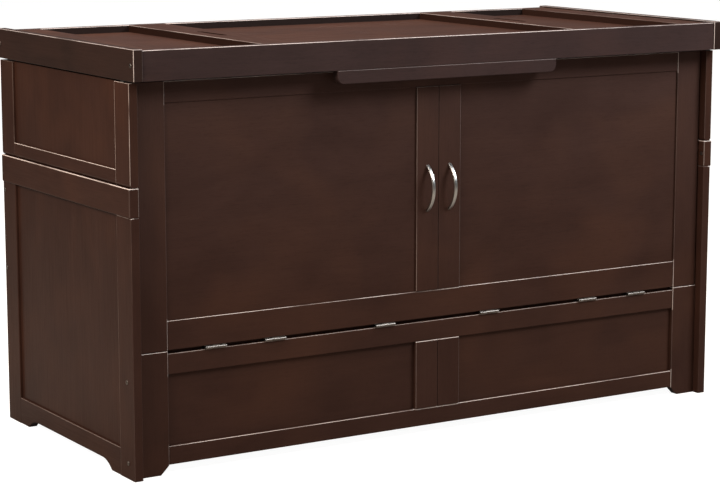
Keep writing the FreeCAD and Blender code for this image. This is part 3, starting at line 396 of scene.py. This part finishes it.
def mixed(tree, factor, first, second, blend="MIX"):
    """A colour mix of two colours or sockets by a socket."""
    node = tree.nodes.new("ShaderNodeMix")
    node.data_type = "RGBA"
    node.blend_type = blend
    tree.links.new(factor, node.inputs["Factor"])
    for label, color in (("A", first), ("B", second)):
        if isinstance(color, bpy.types.NodeSocket):
            tree.links.new(color, node.inputs[label])
        else:
            node.inputs[label].default_value = (*color, 1.0)
    return node.outputs["Result"]


def spread_between(tree, value, low, high):
    """A value from 0 to 1 mapped between two numbers."""
    node = tree.nodes.new("ShaderNodeMapRange")
    node.inputs["To Min"].default_value = low
    node.inputs["To Max"].default_value = high
    tree.links.new(value, node.inputs["Value"])
    return node.outputs["Result"]


def bumped(tree, shader, height, distance):
    """A bump of a real height, in metres, from a value between 0 and 1."""
    bump = tree.nodes.new("ShaderNodeBump")
    bump.inputs["Distance"].default_value = distance
    tree.links.new(height, bump.inputs["Height"])
    tree.links.new(bump.outputs["Normal"], shader.inputs["Normal"])


# %% [markdown]
# Some marks belong to one place on a piece: a brighter painted highlight on a stretch of a stile, or
# painted shade in a corner. They could be drawn into a picture, but every piece's coordinates are known, so a
# box in space is enough: a
# Compare node on each axis says whether a point lies between the box's two faces.

# %% Mask a place on a piece


def within(tree, boxes):
    """1 where a piece's own coordinates lie inside one of some boxes, and 0 elsewhere."""
    place = own_parts(tree, "Object")
    inside = 0.0
    for low, high in boxes:
        here = 1.0
        for part, least, most in zip(place, low, high):
            beside = math_node(tree, "COMPARE", part, (least + most) / 2, (most - least) / 2)
            here = math_node(tree, "MULTIPLY", beside, here)
        inside = math_node(tree, "MAXIMUM", here, inside)
    return inside


# %% [markdown]
# The stained wood is built in layers, in the order of the real work for the stain: its patches first, the
# dark streaks and pores over them, and last the painted highlights on the edges.

# %% Make the stain's colour
WARM_PATCHES = dict(stretch=(3.0, 4.0, 4.0), scale=1.2, detail=2.0, distortion=0.5, low=0.45, high=0.75)
STREAK_SHARE, PORE_SHARE = 0.13, 0.22
# How far the painted shade on the tray walls goes towards the dark colour.
PAINTED_SHADE_SHARE = 0.8
# Painted sheen: towards the front's top, its colour is multiplied by this paler, greyer tint.
PAINTED_SHEEN_TINT = (1.22, 1.42, 1.62)


def stain_tone(tree, vector, marks, stain, painted_shade, painted_sheen):
    """The stain's deep and mid tones by patches, warmer in places, with fine dark streaks and pores.

    In the boxes given for painted shade, upright faces get painted shade in the dark colour. Between
    two heights given for the painted sheen, the colour slowly grows paler and greyer, a painted sheen.
    """
    tone = mixed(tree, marks["Patches"], stain["deep"], stain["mid"])
    tone = mixed(tree, cloudy(tree, vector, **WARM_PATCHES), tone, stain["warm"])
    # Painted sheen: paler and greyer towards the top.
    if painted_sheen:
        height = spread(tree, own_parts(tree, "Object")["Z"], *painted_sheen)
        tone = mixed(tree, height, tone, PAINTED_SHEEN_TINT, "MULTIPLY")
    tone = mixed(tree, spread_between(tree, marks["Streaks"], 0.0, STREAK_SHARE), tone, stain["dark"])
    tone = mixed(tree, spread_between(tree, marks["Pores"], 0.0, PORE_SHARE), tone, stain["dark"])
    # Painted shade: upright faces inside the boxes take the dark colour.
    if painted_shade:
        level = math_node(tree, "ABSOLUTE", own_parts(tree, "Normal")["Z"])
        wall = math_node(tree, "MULTIPLY", within(tree, painted_shade), math_node(tree, "SUBTRACT", 1.0, level))
        tone = mixed(tree, spread_between(tree, wall, 0.0, PAINTED_SHADE_SHARE), tone, stain["dark"])
    return tone


# %% Paint the highlights on the edges
HIGHLIGHT_LEAST = 0.12
# Noise that breaks up the painted highlight bands.
PATCHY_HIGHLIGHT = dict(scale=9.0, detail=4.0, low=0.3, high=0.6)


def painted_edge_highlights(tree, vector, inner, corner, strength, highlit, highlit_bands):
    """How strong the painted highlight on the edges is, from 0 to 1.

    The inner and corner numbers say how bright the two kinds of upright edges are, and the strength how
    bright all are. Where boxes are given for the full highlight, the edges outside them keep only a small
    fixed share of it. In the boxes given for highlight bands, a flat face gets the highlight of an inner
    edge.
    """
    edges = placed(tree, edge_group, vector, Inner=inner, Corner=corner, Strength=strength)
    if highlit:
        share = spread_between(tree, within(tree, highlit), strength * HIGHLIGHT_LEAST, strength)
        tree.links.new(share, edges.inputs["Strength"])
    highlight = edges.outputs["Edge"]
    if highlit_bands:
        band = math_node(tree, "MULTIPLY", cloudy(tree, vector, **PATCHY_HIGHLIGHT), inner)
        band = math_node(tree, "MULTIPLY", within(tree, highlit_bands), band)
        highlight = math_node(tree, "MAXIMUM", highlight, band)
    return highlight


# %% Put the stained wood together
LACQUER_ROUGHNESS = (0.28, 0.38)
LACQUER_SPECULAR = 0.05
STREAK_RELIEF = 0.00003


def stained_wood(name, grain, stain, inner, corner, strength=1.0,
                 highlit=(), highlit_bands=(), painted_shade=(), painted_sheen=()):
    """Dark stained wood under satin lacquer, with painted highlights on its edges, and painted shade and a
    painted sheen where asked.
    """
    material, tree, shader = new_finish(name)
    vector = grain_vector(tree, grain)
    marks = placed(tree, grain_group, vector).outputs
    tone = stain_tone(tree, vector, marks, stain, painted_shade, painted_sheen)
    highlight = painted_edge_highlights(tree, vector, inner, corner, strength, highlit, highlit_bands)
    # The painted highlight mixes the edge colour into the stain's tone.
    tree.links.new(mixed(tree, highlight, tone, stain["edge"]), shader.inputs["Base Color"])
    gloss = spread_between(tree, marks["Streaks"], *LACQUER_ROUGHNESS)
    tree.links.new(gloss, shader.inputs["Roughness"])
    shader.inputs["Specular IOR Level"].default_value = LACQUER_SPECULAR
    bumped(tree, shader, marks["Streaks"], STREAK_RELIEF)
    return material


# %% [markdown]
# The case and the front share one red-brown espresso stain. What differs is how bright the painted highlights
# on the edges are, so each kind of board has its own numbers for them, read from the photograph: strong on
# the long rails' upper edges, faint on the sides' low rails and on the veneer of the panels. The fold-down
# front also gets a painted sheen, which makes it a little paler and greyer towards its top, over the height
# of its panels.

# %% Stain the case and the front
ESPRESSO = {
    "dark": (0.014, 0.0058, 0.0038),
    "deep": (0.032, 0.0136, 0.0094),
    "mid": (0.040, 0.0172, 0.0118),
    "warm": (0.048, 0.0196, 0.0122),
    # The edge colour is the painted highlight on the eased edges.
    "edge": (0.52, 0.42, 0.37),
}
door_heights = [corner.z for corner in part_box("door_panels")]

case_wood = {axis: stained_wood(f"espresso_along_{axis}", axis, ESPRESSO, inner=0.25, corner=0.05)
             for axis in "xyz"}
veneer = {axis: stained_wood(f"espresso_veneer_along_{axis}", axis, ESPRESSO,
                             inner=0.0, corner=0.0, strength=0.3)
          for axis in "xz"}
sill_wood = stained_wood("espresso_sill", "x", ESPRESSO, inner=0.1, corner=0.05, strength=0.45)
low_rail_wood = stained_wood("espresso_low_rails", "y", ESPRESSO, inner=0.1, corner=0.05, strength=0.25)
base_centre_wood = stained_wood("espresso_base_centre", "z", ESPRESSO, inner=0.0, corner=0.15, strength=1.2)
door_centre_wood = stained_wood("espresso_door_centre", "z", ESPRESSO, inner=0.0, corner=1.0, strength=0.3,
                                painted_sheen=door_heights)
door_panel_wood = stained_wood("espresso_door_panels", "x", ESPRESSO, inner=0.0, corner=0.0, strength=0.3,
                               painted_sheen=door_heights)
door_top_wood = stained_wood("espresso_door_top", "x", ESPRESSO, inner=0.25, corner=0.05,
                             painted_sheen=door_heights)
# The print gives the heights over which the painted sheen grows.
print("the front's stain grows paler from", door_heights[0], "to", door_heights[1])

# %% [markdown]
# Some edges get a brighter painted highlight than others. On the front's stiles it is the stretch beside each
# rail, because the rails lie 2 mm back there and the stile's edge stands free. The two foot rails get it
# along their whole top edge, also where the centre stiles stand on them. On the sides it is a narrow band on
# the outer face of the front posts, along their inner edge. All these places come from the pieces' own boxes,
# so they would move with the pieces if a size changed.

# %% Find the separate solids of a node
DOUBLES_APART = 1e-6


def solids(name):
    """The points of each separate solid in a node, from a merged copy of its mesh."""
    mesh = bmesh.new()
    mesh.from_mesh(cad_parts[name].data)
    bmesh.ops.remove_doubles(mesh, verts=mesh.verts, dist=DOUBLES_APART)
    left = set(mesh.verts)
    found = []
    while left:
        newest = [left.pop()]
        island = list(newest)
        while newest:
            near = {edge.other_vert(point) for point in newest for edge in point.link_edges} & left
            left -= near
            newest = list(near)
            island += newest
        found.append([point.co.copy() for point in island])
    mesh.free()
    return found


print("side posts in one node:", len(solids("left_legs")))

# %% Place the brighter highlights on the front
MARGIN = 0.005
# Width of the painted highlight bands.
HIGHLIGHT_WIDTH = 0.0025
FRONT_RAILS = ("base_bottom_rail", "base_top_rail", "door_bottom_rail", "door_top_rail")


def across_front(rail):
    """A rail's box, a little larger and drawn out across the whole front."""
    low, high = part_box(rail)
    reach = Vector((cad_high.x, MARGIN, MARGIN))
    return low - reach, high + reach


def highlight_below(stiles, rail):
    """A narrow box along a rail's top edge, where stiles stand on it, for a painted highlight."""
    low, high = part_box(stiles)
    rail_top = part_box(rail)[1].z
    return (Vector((low.x, cad_low.y, rail_top - HIGHLIGHT_WIDTH)),
            Vector((high.x, high.y, rail_top + MARGIN)))


front_stile_wood = stained_wood("espresso_front_stiles", "z", ESPRESSO, inner=0.8, corner=0.05,
                                highlit=[across_front(rail) for rail in FRONT_RAILS], painted_sheen=door_heights)
highlit_rail_bands = [highlight_below("door_centre_stiles", "door_bottom_rail"),
              highlight_below("base_centre_stiles", "base_bottom_rail")]
foot_rail_wood = stained_wood("espresso_foot_rails", "x", ESPRESSO, inner=1.0, corner=0.05, highlit_bands=highlit_rail_bands)
# The print counts the places on the front with a brighter painted highlight.
print("rubbed places on the front:", len(FRONT_RAILS), "beside rails,", len(highlit_rail_bands), "under stiles")

# %% Place the brighter highlights on the front posts of the sides
OUTER_SKIN = 0.008
post_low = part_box("left_legs")[0]
outer_faces = [(Vector((low_x, cad_low.y, 0.0)), Vector((low_x + 2 * OUTER_SKIN, 0.0, cad_high.z)))
               for low_x in (post_low.x - OUTER_SKIN, -post_low.x - OUTER_SKIN)]


def highlight_beside(posts):
    """A narrow box on the outer face of each front post, along its inner edge, on both sides, for a painted
    highlight.
    """
    front_post = min(solids(posts), key=lambda points: min(point.y for point in points))
    inner_y = max(point.y for point in front_post)
    return [(Vector((low.x, inner_y - HIGHLIGHT_WIDTH, low.z)), Vector((high.x, inner_y + MARGIN, high.z)))
            for low, high in outer_faces]


upper_stile_wood = stained_wood("espresso_upper_stiles", "z", ESPRESSO, inner=0.6, corner=1.0,
                                highlit=outer_faces, highlit_bands=highlight_beside("left_upper_stiles"))
leg_wood = stained_wood("espresso_legs", "z", ESPRESSO, inner=0.16, corner=0.05,
                        highlit=outer_faces, highlit_bands=highlight_beside("left_legs"))
print("outer faces start at x:", [low.x for low, high in outer_faces])

# %% [markdown]
# In the lid's trays the rim's inner walls get painted shade, which makes them nearly black. One box
# holds all these walls: it starts in the middle of the rim's thickness and ends just below its top. At
# the ends of the lid's front, the painted highlight is on the left side rail's outer corner, but on the right
# side rail's inner edge, so these two rails have their numbers the other way round.

# %% Stain the lid
BELOW_RIM = 0.001
# The lid's front, back and pull bar take a greyer copy of the stain: their stain with a painted sheen.
LID_STAIN_AND_SHEEN = {
    "dark": (0.010, 0.0066, 0.0056),
    "deep": (0.032, 0.0186, 0.0168),
    "mid": (0.040, 0.0230, 0.0208),
    "warm": (0.047, 0.0245, 0.0208),
    # The edge colour is the painted highlight on the eased edges.
    "edge": (0.52, 0.43, 0.39),
}
# The lid's side rails take a darker copy of that stain: their stain with painted shade.
LID_SIDE_STAIN_AND_SHADE = {
    "dark": (0.008, 0.0050, 0.0040),
    "deep": (0.022, 0.0120, 0.0094),
    "mid": (0.028, 0.0150, 0.0118),
    "warm": (0.034, 0.0165, 0.0122),
    # The edge colour is the painted highlight on the eased edges.
    "edge": (0.52, 0.43, 0.39),
}
rail_low, rail_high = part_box("lid_side_rail_left")
half_rim = (rail_high.x - rail_low.x) / 2
tray_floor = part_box("lid_centre_panel")[1].z
back_rail_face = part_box("lid_back_rail")[0].y
tray_low = Vector((cad_low.x + half_rim, cad_low.y + half_rim, tray_floor - MARGIN))
tray_high = Vector((cad_high.x - half_rim, back_rail_face + MARGIN, rail_high.z - BELOW_RIM))
# The box of the tray walls, which get painted shade.
tray_walls = [(tray_low, tray_high)]

lid_front_wood = stained_wood("espresso_lid_front", "x", LID_STAIN_AND_SHEEN, inner=0.4, corner=0.05, strength=0.9,
                              painted_shade=tray_walls)
lid_bar_wood = stained_wood("espresso_lid_bar", "x", LID_STAIN_AND_SHEEN, inner=0.3, corner=0.05, strength=0.15)
lid_left_wood = stained_wood("espresso_lid_left", "y", LID_SIDE_STAIN_AND_SHADE, inner=0.1, corner=3.0, strength=0.33,
                             painted_shade=tray_walls)
lid_right_wood = stained_wood("espresso_lid_right", "y", LID_SIDE_STAIN_AND_SHADE, inner=3.0, corner=0.1, strength=0.33,
                              painted_shade=tray_walls)
lid_divider_wood = stained_wood("espresso_lid_dividers", "y", ESPRESSO, inner=0.1, corner=0.1, strength=0.35,
                                painted_shade=tray_walls)
lid_stile_wood = stained_wood("espresso_lid_stiles", "y", ESPRESSO, inner=0.1, corner=0.1, strength=0.1,
                              painted_shade=tray_walls)
print("tray walls from", tuple(tray_low), "to", tuple(tray_high))

# %% [markdown]
# The platform inside is plain wood, because bedding covers it. It is pale and dry, with clear
# streaks and no lacquer. The same grain group serves it, with other colours and a rougher surface.

# %% Make the platform wood
PLATFORM_DEEP = (0.31, 0.205, 0.112)
PLATFORM_PALE = (0.38, 0.262, 0.152)
PLATFORM_STREAK = (0.22, 0.128, 0.064)
PLATFORM_STREAK_RANGE = (0.3, 1.6)
SANDED_ROUGHNESS = (0.55, 0.7)
SANDED_RELIEF = 0.0001


def plain_wood(name, grain):
    """Pale sanded wood with brown streaks."""
    material, tree, shader = new_finish(name)
    marks = placed(tree, grain_group, grain_vector(tree, grain)).outputs
    board = mixed(tree, marks["Patches"], PLATFORM_DEEP, PLATFORM_PALE)
    board = mixed(tree, spread(tree, marks["Streaks"], *PLATFORM_STREAK_RANGE), board, PLATFORM_STREAK)
    tree.links.new(board, shader.inputs["Base Color"])
    tree.links.new(spread_between(tree, marks["Streaks"], *SANDED_ROUGHNESS), shader.inputs["Roughness"])
    bumped(tree, shader, marks["Streaks"], SANDED_RELIEF)
    return material


slat_wood = {axis: plain_wood(f"platform_wood_along_{axis}", axis) for axis in "xyz"}
print("finishes so far:", len(bpy.data.materials))

# %% [markdown]
# ## Metal, plastic and rubber
# The pulls are satin nickel: bright, a little warm, and brushed. The hinges and bolts are duller
# plated steel. Brushing is finer than a pixel, so it shows as small changes of gloss and colour, and
# noise that is stretched along the brushing gives both.

# %% Make the metal finishes
BRUSH_SHADE = 0.86
BRUSH_GLOSS = (-0.06, 0.08)
BRUSH_DETAIL = 3.0
BRUSH_RELIEF = 0.00002


def plated_metal(name, color, roughness, brush):
    """Plated metal with fine brushing, which shows as small changes of gloss."""
    material, tree, shader = new_finish(name)
    coordinates = tree.nodes.new("ShaderNodeTexCoord")
    marks = noise(tree, stretched(tree, coordinates.outputs["Object"], brush), 1.0, BRUSH_DETAIL)
    tone = mixed(tree, marks, tuple(part * BRUSH_SHADE for part in color), color)
    tree.links.new(tone, shader.inputs["Base Color"])
    shader.inputs["Metallic"].default_value = 1.0
    gloss = spread_between(tree, marks, *(roughness + change for change in BRUSH_GLOSS))
    tree.links.new(gloss, shader.inputs["Roughness"])
    bumped(tree, shader, marks, BRUSH_RELIEF)
    return material


satin_nickel = plated_metal("satin_nickel", (0.47, 0.44, 0.41), 0.28, brush=(900.0, 900.0, 60.0))
hinge_steel = plated_metal("hinge_steel", (0.24, 0.205, 0.18), 0.42, brush=(70.0, 700.0, 700.0))
bolt_steel = plated_metal("bolt_steel", (0.20, 0.17, 0.15), 0.34, brush=(500.0, 500.0, 500.0))
print("metal finishes:", satin_nickel.name, hinge_steel.name, bolt_steel.name)

# %% [markdown]
# The folding legs are black powder coat, which is finely pebbled. The brackets are moulded plastic and
# the feet are rubber. All three differ only in colour, gloss and the size of their pebbles.

# %% Make the coats
PEBBLE_SHADE = 0.8
PEBBLE_GLOSS = (-0.05, 0.05)
PEBBLE_DETAIL = 2.0


def coated(name, color, roughness, grain_size, depth):
    """A dull coat with a fine pebbled surface: powder coat, moulded plastic or rubber."""
    material, tree, shader = new_finish(name)
    coordinates = tree.nodes.new("ShaderNodeTexCoord")
    pebbles = noise(tree, coordinates.outputs["Object"], 1.0 / grain_size, PEBBLE_DETAIL)
    tone = mixed(tree, pebbles, tuple(part * PEBBLE_SHADE for part in color), color)
    tree.links.new(tone, shader.inputs["Base Color"])
    gloss = spread_between(tree, pebbles, *(roughness + change for change in PEBBLE_GLOSS))
    tree.links.new(gloss, shader.inputs["Roughness"])
    bumped(tree, shader, pebbles, depth)
    return material


black_coat = coated("black_powder_coat", (0.03, 0.03, 0.032), 0.45, grain_size=0.0012, depth=0.00015)
bracket_plastic = coated("bracket_plastic", (0.025, 0.025, 0.026), 0.5, grain_size=0.0008, depth=0.00005)
black_rubber = coated("black_rubber", (0.018, 0.018, 0.018), 0.75, grain_size=0.0006, depth=0.00004)
print("coats:", black_coat.name, bracket_plastic.name, black_rubber.name)

# %% [markdown]
# ## Which piece has which finish
# The frame's pieces are never moved or changed. They only get a material on their slots, and the slot
# takes it on the object instead of the mesh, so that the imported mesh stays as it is.

# %% Give each piece its finish


def finish(material, *names):
    """Put one material on every slot of some nodes."""
    for name in names:
        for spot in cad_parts[name].material_slots:
            spot.link = "OBJECT"
            spot.material = material


finish(lid_front_wood, "lid_front_rail", "lid_back_rail")
finish(lid_bar_wood, "lid_pull_bar")
finish(lid_left_wood, "lid_side_rail_left")
finish(lid_right_wood, "lid_side_rail_right")
finish(lid_divider_wood, "lid_dividers")
finish(lid_stile_wood, "lid_stiles")
finish(upper_stile_wood, "left_upper_stiles", "right_upper_stiles")
finish(leg_wood, "left_legs", "right_legs")
finish(low_rail_wood, "left_low_rail", "right_low_rail")
finish(door_top_wood, "door_top_rail")
finish(door_panel_wood, "door_panels")
finish(door_centre_wood, "door_centre_stiles")
finish(foot_rail_wood, "door_bottom_rail", "base_bottom_rail")
finish(front_stile_wood, "base_stiles", "door_stiles")
finish(base_centre_wood, "base_centre_stiles")
finish(sill_wood, "base_top_rail")
finish(case_wood["x"], "back_rails", "head_bearers")
finish(case_wood["y"], "left_upper_rail", "right_upper_rail", "left_cap_rail", "right_cap_rail")
finish(case_wood["z"], "back_stiles")
finish(veneer["x"], "base_panels", "lid_centre_panel", "lid_outer_panels", "back_panels")
finish(veneer["z"], "left_upper_panel", "right_upper_panel", "left_lower_panel", "right_lower_panel")
finish(slat_wood["x"], "foot_deck_panels")
finish(slat_wood["y"], "head_slats")
finish(slat_wood["z"], "foot_deck_frame")
finish(satin_nickel, "door_handle_left", "door_handle_right")
finish(hinge_steel, "front_hinge_base_leaves", "front_hinge_door_leaves", "front_hinge_pins",
       "lid_hinge_lid_leaves", "lid_hinge_back_leaves", "lid_hinge_pins",
       "foot_hinge_door_leaves", "foot_hinge_foot_leaves", "foot_hinge_pins")
finish(bolt_steel, "lid_bolts", "side_bolts", "handle_screws")
finish(black_coat, "middle_leg_frame", "foot_leg_frame")
finish(bracket_plastic, "leg_brackets")
finish(black_rubber, "middle_leg_caps", "foot_leg_caps", "lid_rest_pads")
print("pieces with a finish:", len(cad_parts))

# %% [markdown]
# ## Bolts and hinge screws
# The frame bolts have flat round heads with a hexagon socket, and the hinge leaves are held by small
# screws with a cross recess. Both are turned parts, so one helper makes them: a ring of points is
# extruded again and again, and each time its points are put at a new distance from the axis. For the
# recess that distance changes with the angle, which turns the round ring into a hexagon or a cross.

# %% Draw the recesses
CROSS_ARM = 0.26


def circle(angle):
    """A circle's edge from its middle."""
    return 1.0


def hexagon(angle):
    """A hexagon's edge from its middle, with 1 at its corners."""
    sixth = math.pi / 3
    return math.cos(sixth / 2) / math.cos(angle % sixth - sixth / 2)


def cross(angle):
    """The edge of a cross from its middle, with 1 at the ends of its arms."""
    quarter = math.pi / 2
    off_arm = abs((angle + quarter / 2) % quarter - quarter / 2)
    if math.tan(off_arm) <= CROSS_ARM:
        return 1.0 / math.cos(off_arm)
    return CROSS_ARM / math.sin(off_arm)


print("hexagon across its flats:", 2 * hexagon(math.pi / 6), "cross at 45 degrees:", cross(math.pi / 4))

# %% Turn a fastener


def extrude_ring(mesh, ring, radius, height, outline):
    """Extrude a ring of edges round Z, and put its points on an outline of a size at a height."""
    made = bmesh.ops.extrude_edge_only(mesh, edges=ring)["geom"]
    points = {item for item in made if isinstance(item, bmesh.types.BMVert)}
    for point in points:
        angle = math.atan2(point.co.y, point.co.x)
        reach = radius * outline(angle)
        point.co = (reach * math.cos(angle), reach * math.sin(angle), height)
    return [item for item in made if isinstance(item, bmesh.types.BMEdge) and set(item.verts) <= points]


def fastener(segments, rings, outline, recess_radius, recess_depth):
    """A closed turned shape along Z from rings of radius and height, with a recess in its last face."""
    mesh = bmesh.new()
    bmesh.ops.create_circle(mesh, cap_ends=True, segments=segments, radius=rings[0][0])
    bmesh.ops.translate(mesh, verts=mesh.verts, vec=(0.0, 0.0, rings[0][1]))
    ring = mesh.edges[:]
    for radius, height in rings[1:]:
        ring = extrude_ring(mesh, ring, radius, height, circle)
    top = rings[-1][1]
    ring = extrude_ring(mesh, ring, recess_radius, top, outline)
    ring = extrude_ring(mesh, ring, recess_radius, top - recess_depth, outline)
    bmesh.ops.edgeloop_fill(mesh, edges=ring)
    bmesh.ops.recalc_face_normals(mesh, faces=mesh.faces)
    return mesh


# %% Copy a fastener to its places


def copies(name, pattern, turns):
    """One steel piece with a copy of a shape at each of some turned places."""
    whole = bmesh.new()
    one = bpy.data.meshes.new("pattern")
    pattern.to_mesh(one)
    pattern.free()
    for turn in turns:
        known = len(whole.verts)
        whole.from_mesh(one)
        whole.verts.ensure_lookup_table()
        bmesh.ops.transform(whole, matrix=turn, verts=whole.verts[known:])
    bpy.data.meshes.remove(one)
    data = bpy.data.meshes.new(name)
    whole.to_mesh(data)
    whole.free()
    piece = bpy.data.objects.new(name, data)
    piece.data.materials.append(bolt_steel)
    scene.collection.objects.link(piece)
    print(name, "copies:", len(turns), "faces:", len(data.polygons))
    return piece


def extent(points, axis):
    """The lowest and the highest coordinate of some points along one axis: 0, 1 or 2."""
    values = [point[axis] for point in points]
    return min(values), max(values)


# %% [markdown]
# The frame's own bolts are plain, so the socket bolts replace them. Their places and lengths are
# measured on the plain ones: each lies along X, and its head is at the end where its points lie far
# from its axis. Bolts of one length share one shape.

# %% Make the frame bolts
BOLT_HEAD, BOLT_HEAD_THICK, BOLT_SHANK = 0.005, 0.0015, 0.003
BOLT_EDGE = 0.0004
BOLT_SEGMENTS = 24
SOCKET_RADIUS, SOCKET_DEPTH = 0.0027, 0.0013
HEAD_LEAST = (BOLT_HEAD + BOLT_SHANK) / 2
LENGTH_DIGITS = 4


def frame_bolts(name, node, body):
    """Socket bolts in place of a node's plain ones: each lies along X with its head at its wide end."""
    bolts = []
    for points in solids(node):
        low_x, high_x = extent(points, 0)
        y = sum(extent(points, 1)) / 2
        z = sum(extent(points, 2)) / 2
        wide = [point.x for point in points if math.hypot(point.y - y, point.z - z) > HEAD_LEAST]
        head_high = sum(wide) / len(wide) > (low_x + high_x) / 2
        turn = Matrix.Rotation(math.pi / 2 if head_high else -math.pi / 2, 4, "Y")
        start = Vector((low_x if head_high else high_x, y, z))
        bolts.append((Matrix.Translation(start) @ turn, round(high_x - low_x, LENGTH_DIGITS)))
    for length in sorted({reach for turn, reach in bolts}):
        under_head = length - BOLT_HEAD_THICK
        rings = ((BOLT_SHANK, 0.0), (BOLT_SHANK, under_head), (BOLT_HEAD, under_head),
                 (BOLT_HEAD, length - BOLT_EDGE), (BOLT_HEAD - BOLT_EDGE, length))
        shape = fastener(BOLT_SEGMENTS, rings, hexagon, SOCKET_RADIUS, SOCKET_DEPTH)
        here = [turn for turn, reach in bolts if reach == length]
        piece = copies(f"{name}_{round(length * 1000)}", shape, here)
        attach(piece, body)
    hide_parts(node)


frame_bolts("lid_socket_bolts", "lid_bolts", "lid")
frame_bolts("side_socket_bolts", "side_bolts", "cabinet")

# %% [markdown]
# Each hinge leaf has three screws in the middle of its plate. The plate is found as the part of the
# leaf that lies farthest from the hinge's pin, and its upper or lower face holds the heads. Only the
# heads are made, because the rest is inside the wood.

# %% Screw the hinge leaves down
SCREW_RADIUS, SCREW_PROUD, SCREW_SUNK = 0.0027, 0.0004, 0.0002
SCREW_FACE = SCREW_RADIUS * 0.75
SCREW_RIM = SCREW_PROUD / 4
SCREW_SEGMENTS = 16
CROSS_REACH, CROSS_DEPTH = SCREW_RADIUS * 0.6, SCREW_PROUD * 0.7
SCREWS_PER_LEAF = 3
LEAF_WIDTH = 0.014


def leaf_screws(node, body, facing):
    """Three screw heads in the middle of each leaf's plate, on its upper (1) or lower (-1) face."""
    axis_y = sum(corner.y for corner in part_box(node.rsplit("_", 2)[0] + "_pins")) / 2
    flip = Matrix.Rotation(0.0 if facing > 0 else math.pi, 4, "X")
    turns = []
    for points in solids(node):
        far_y = max((point.y for point in points), key=lambda y: abs(y - axis_y))
        plate = [point for point in points if abs(point.y - far_y) < LEAF_WIDTH / 2]
        face_z = facing * max(facing * point.z for point in plate)
        low_x, high_x = extent(plate, 0)
        y = far_y + math.copysign(LEAF_WIDTH / 2, axis_y - far_y)
        for spot in range(SCREWS_PER_LEAF):
            x = low_x + (spot + 0.5) * (high_x - low_x) / SCREWS_PER_LEAF
            turns.append(Matrix.Translation((x, y, face_z)) @ flip)
    rings = ((SCREW_RADIUS, -SCREW_SUNK), (SCREW_RADIUS, SCREW_RIM), (SCREW_FACE, SCREW_PROUD))
    head = fastener(SCREW_SEGMENTS, rings, cross, CROSS_REACH, CROSS_DEPTH)
    piece = copies(node.replace("leaves", "screws"), head, turns)
    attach(piece, body)


leaf_screws("front_hinge_base_leaves", "cabinet", 1)
leaf_screws("front_hinge_door_leaves", "front_panel", -1)
leaf_screws("lid_hinge_back_leaves", "cabinet", 1)
leaf_screws("lid_hinge_lid_leaves", "lid", -1)
leaf_screws("foot_hinge_door_leaves", "front_panel", 1)
leaf_screws("foot_hinge_foot_leaves", "foot_deck", 1)

# %% [markdown]
# ## The view settings
# The standard view shows a colour as it is written.

# %% Set the view
scene.view_settings.view_transform = "Standard"
bpy.context.view_layer.update()
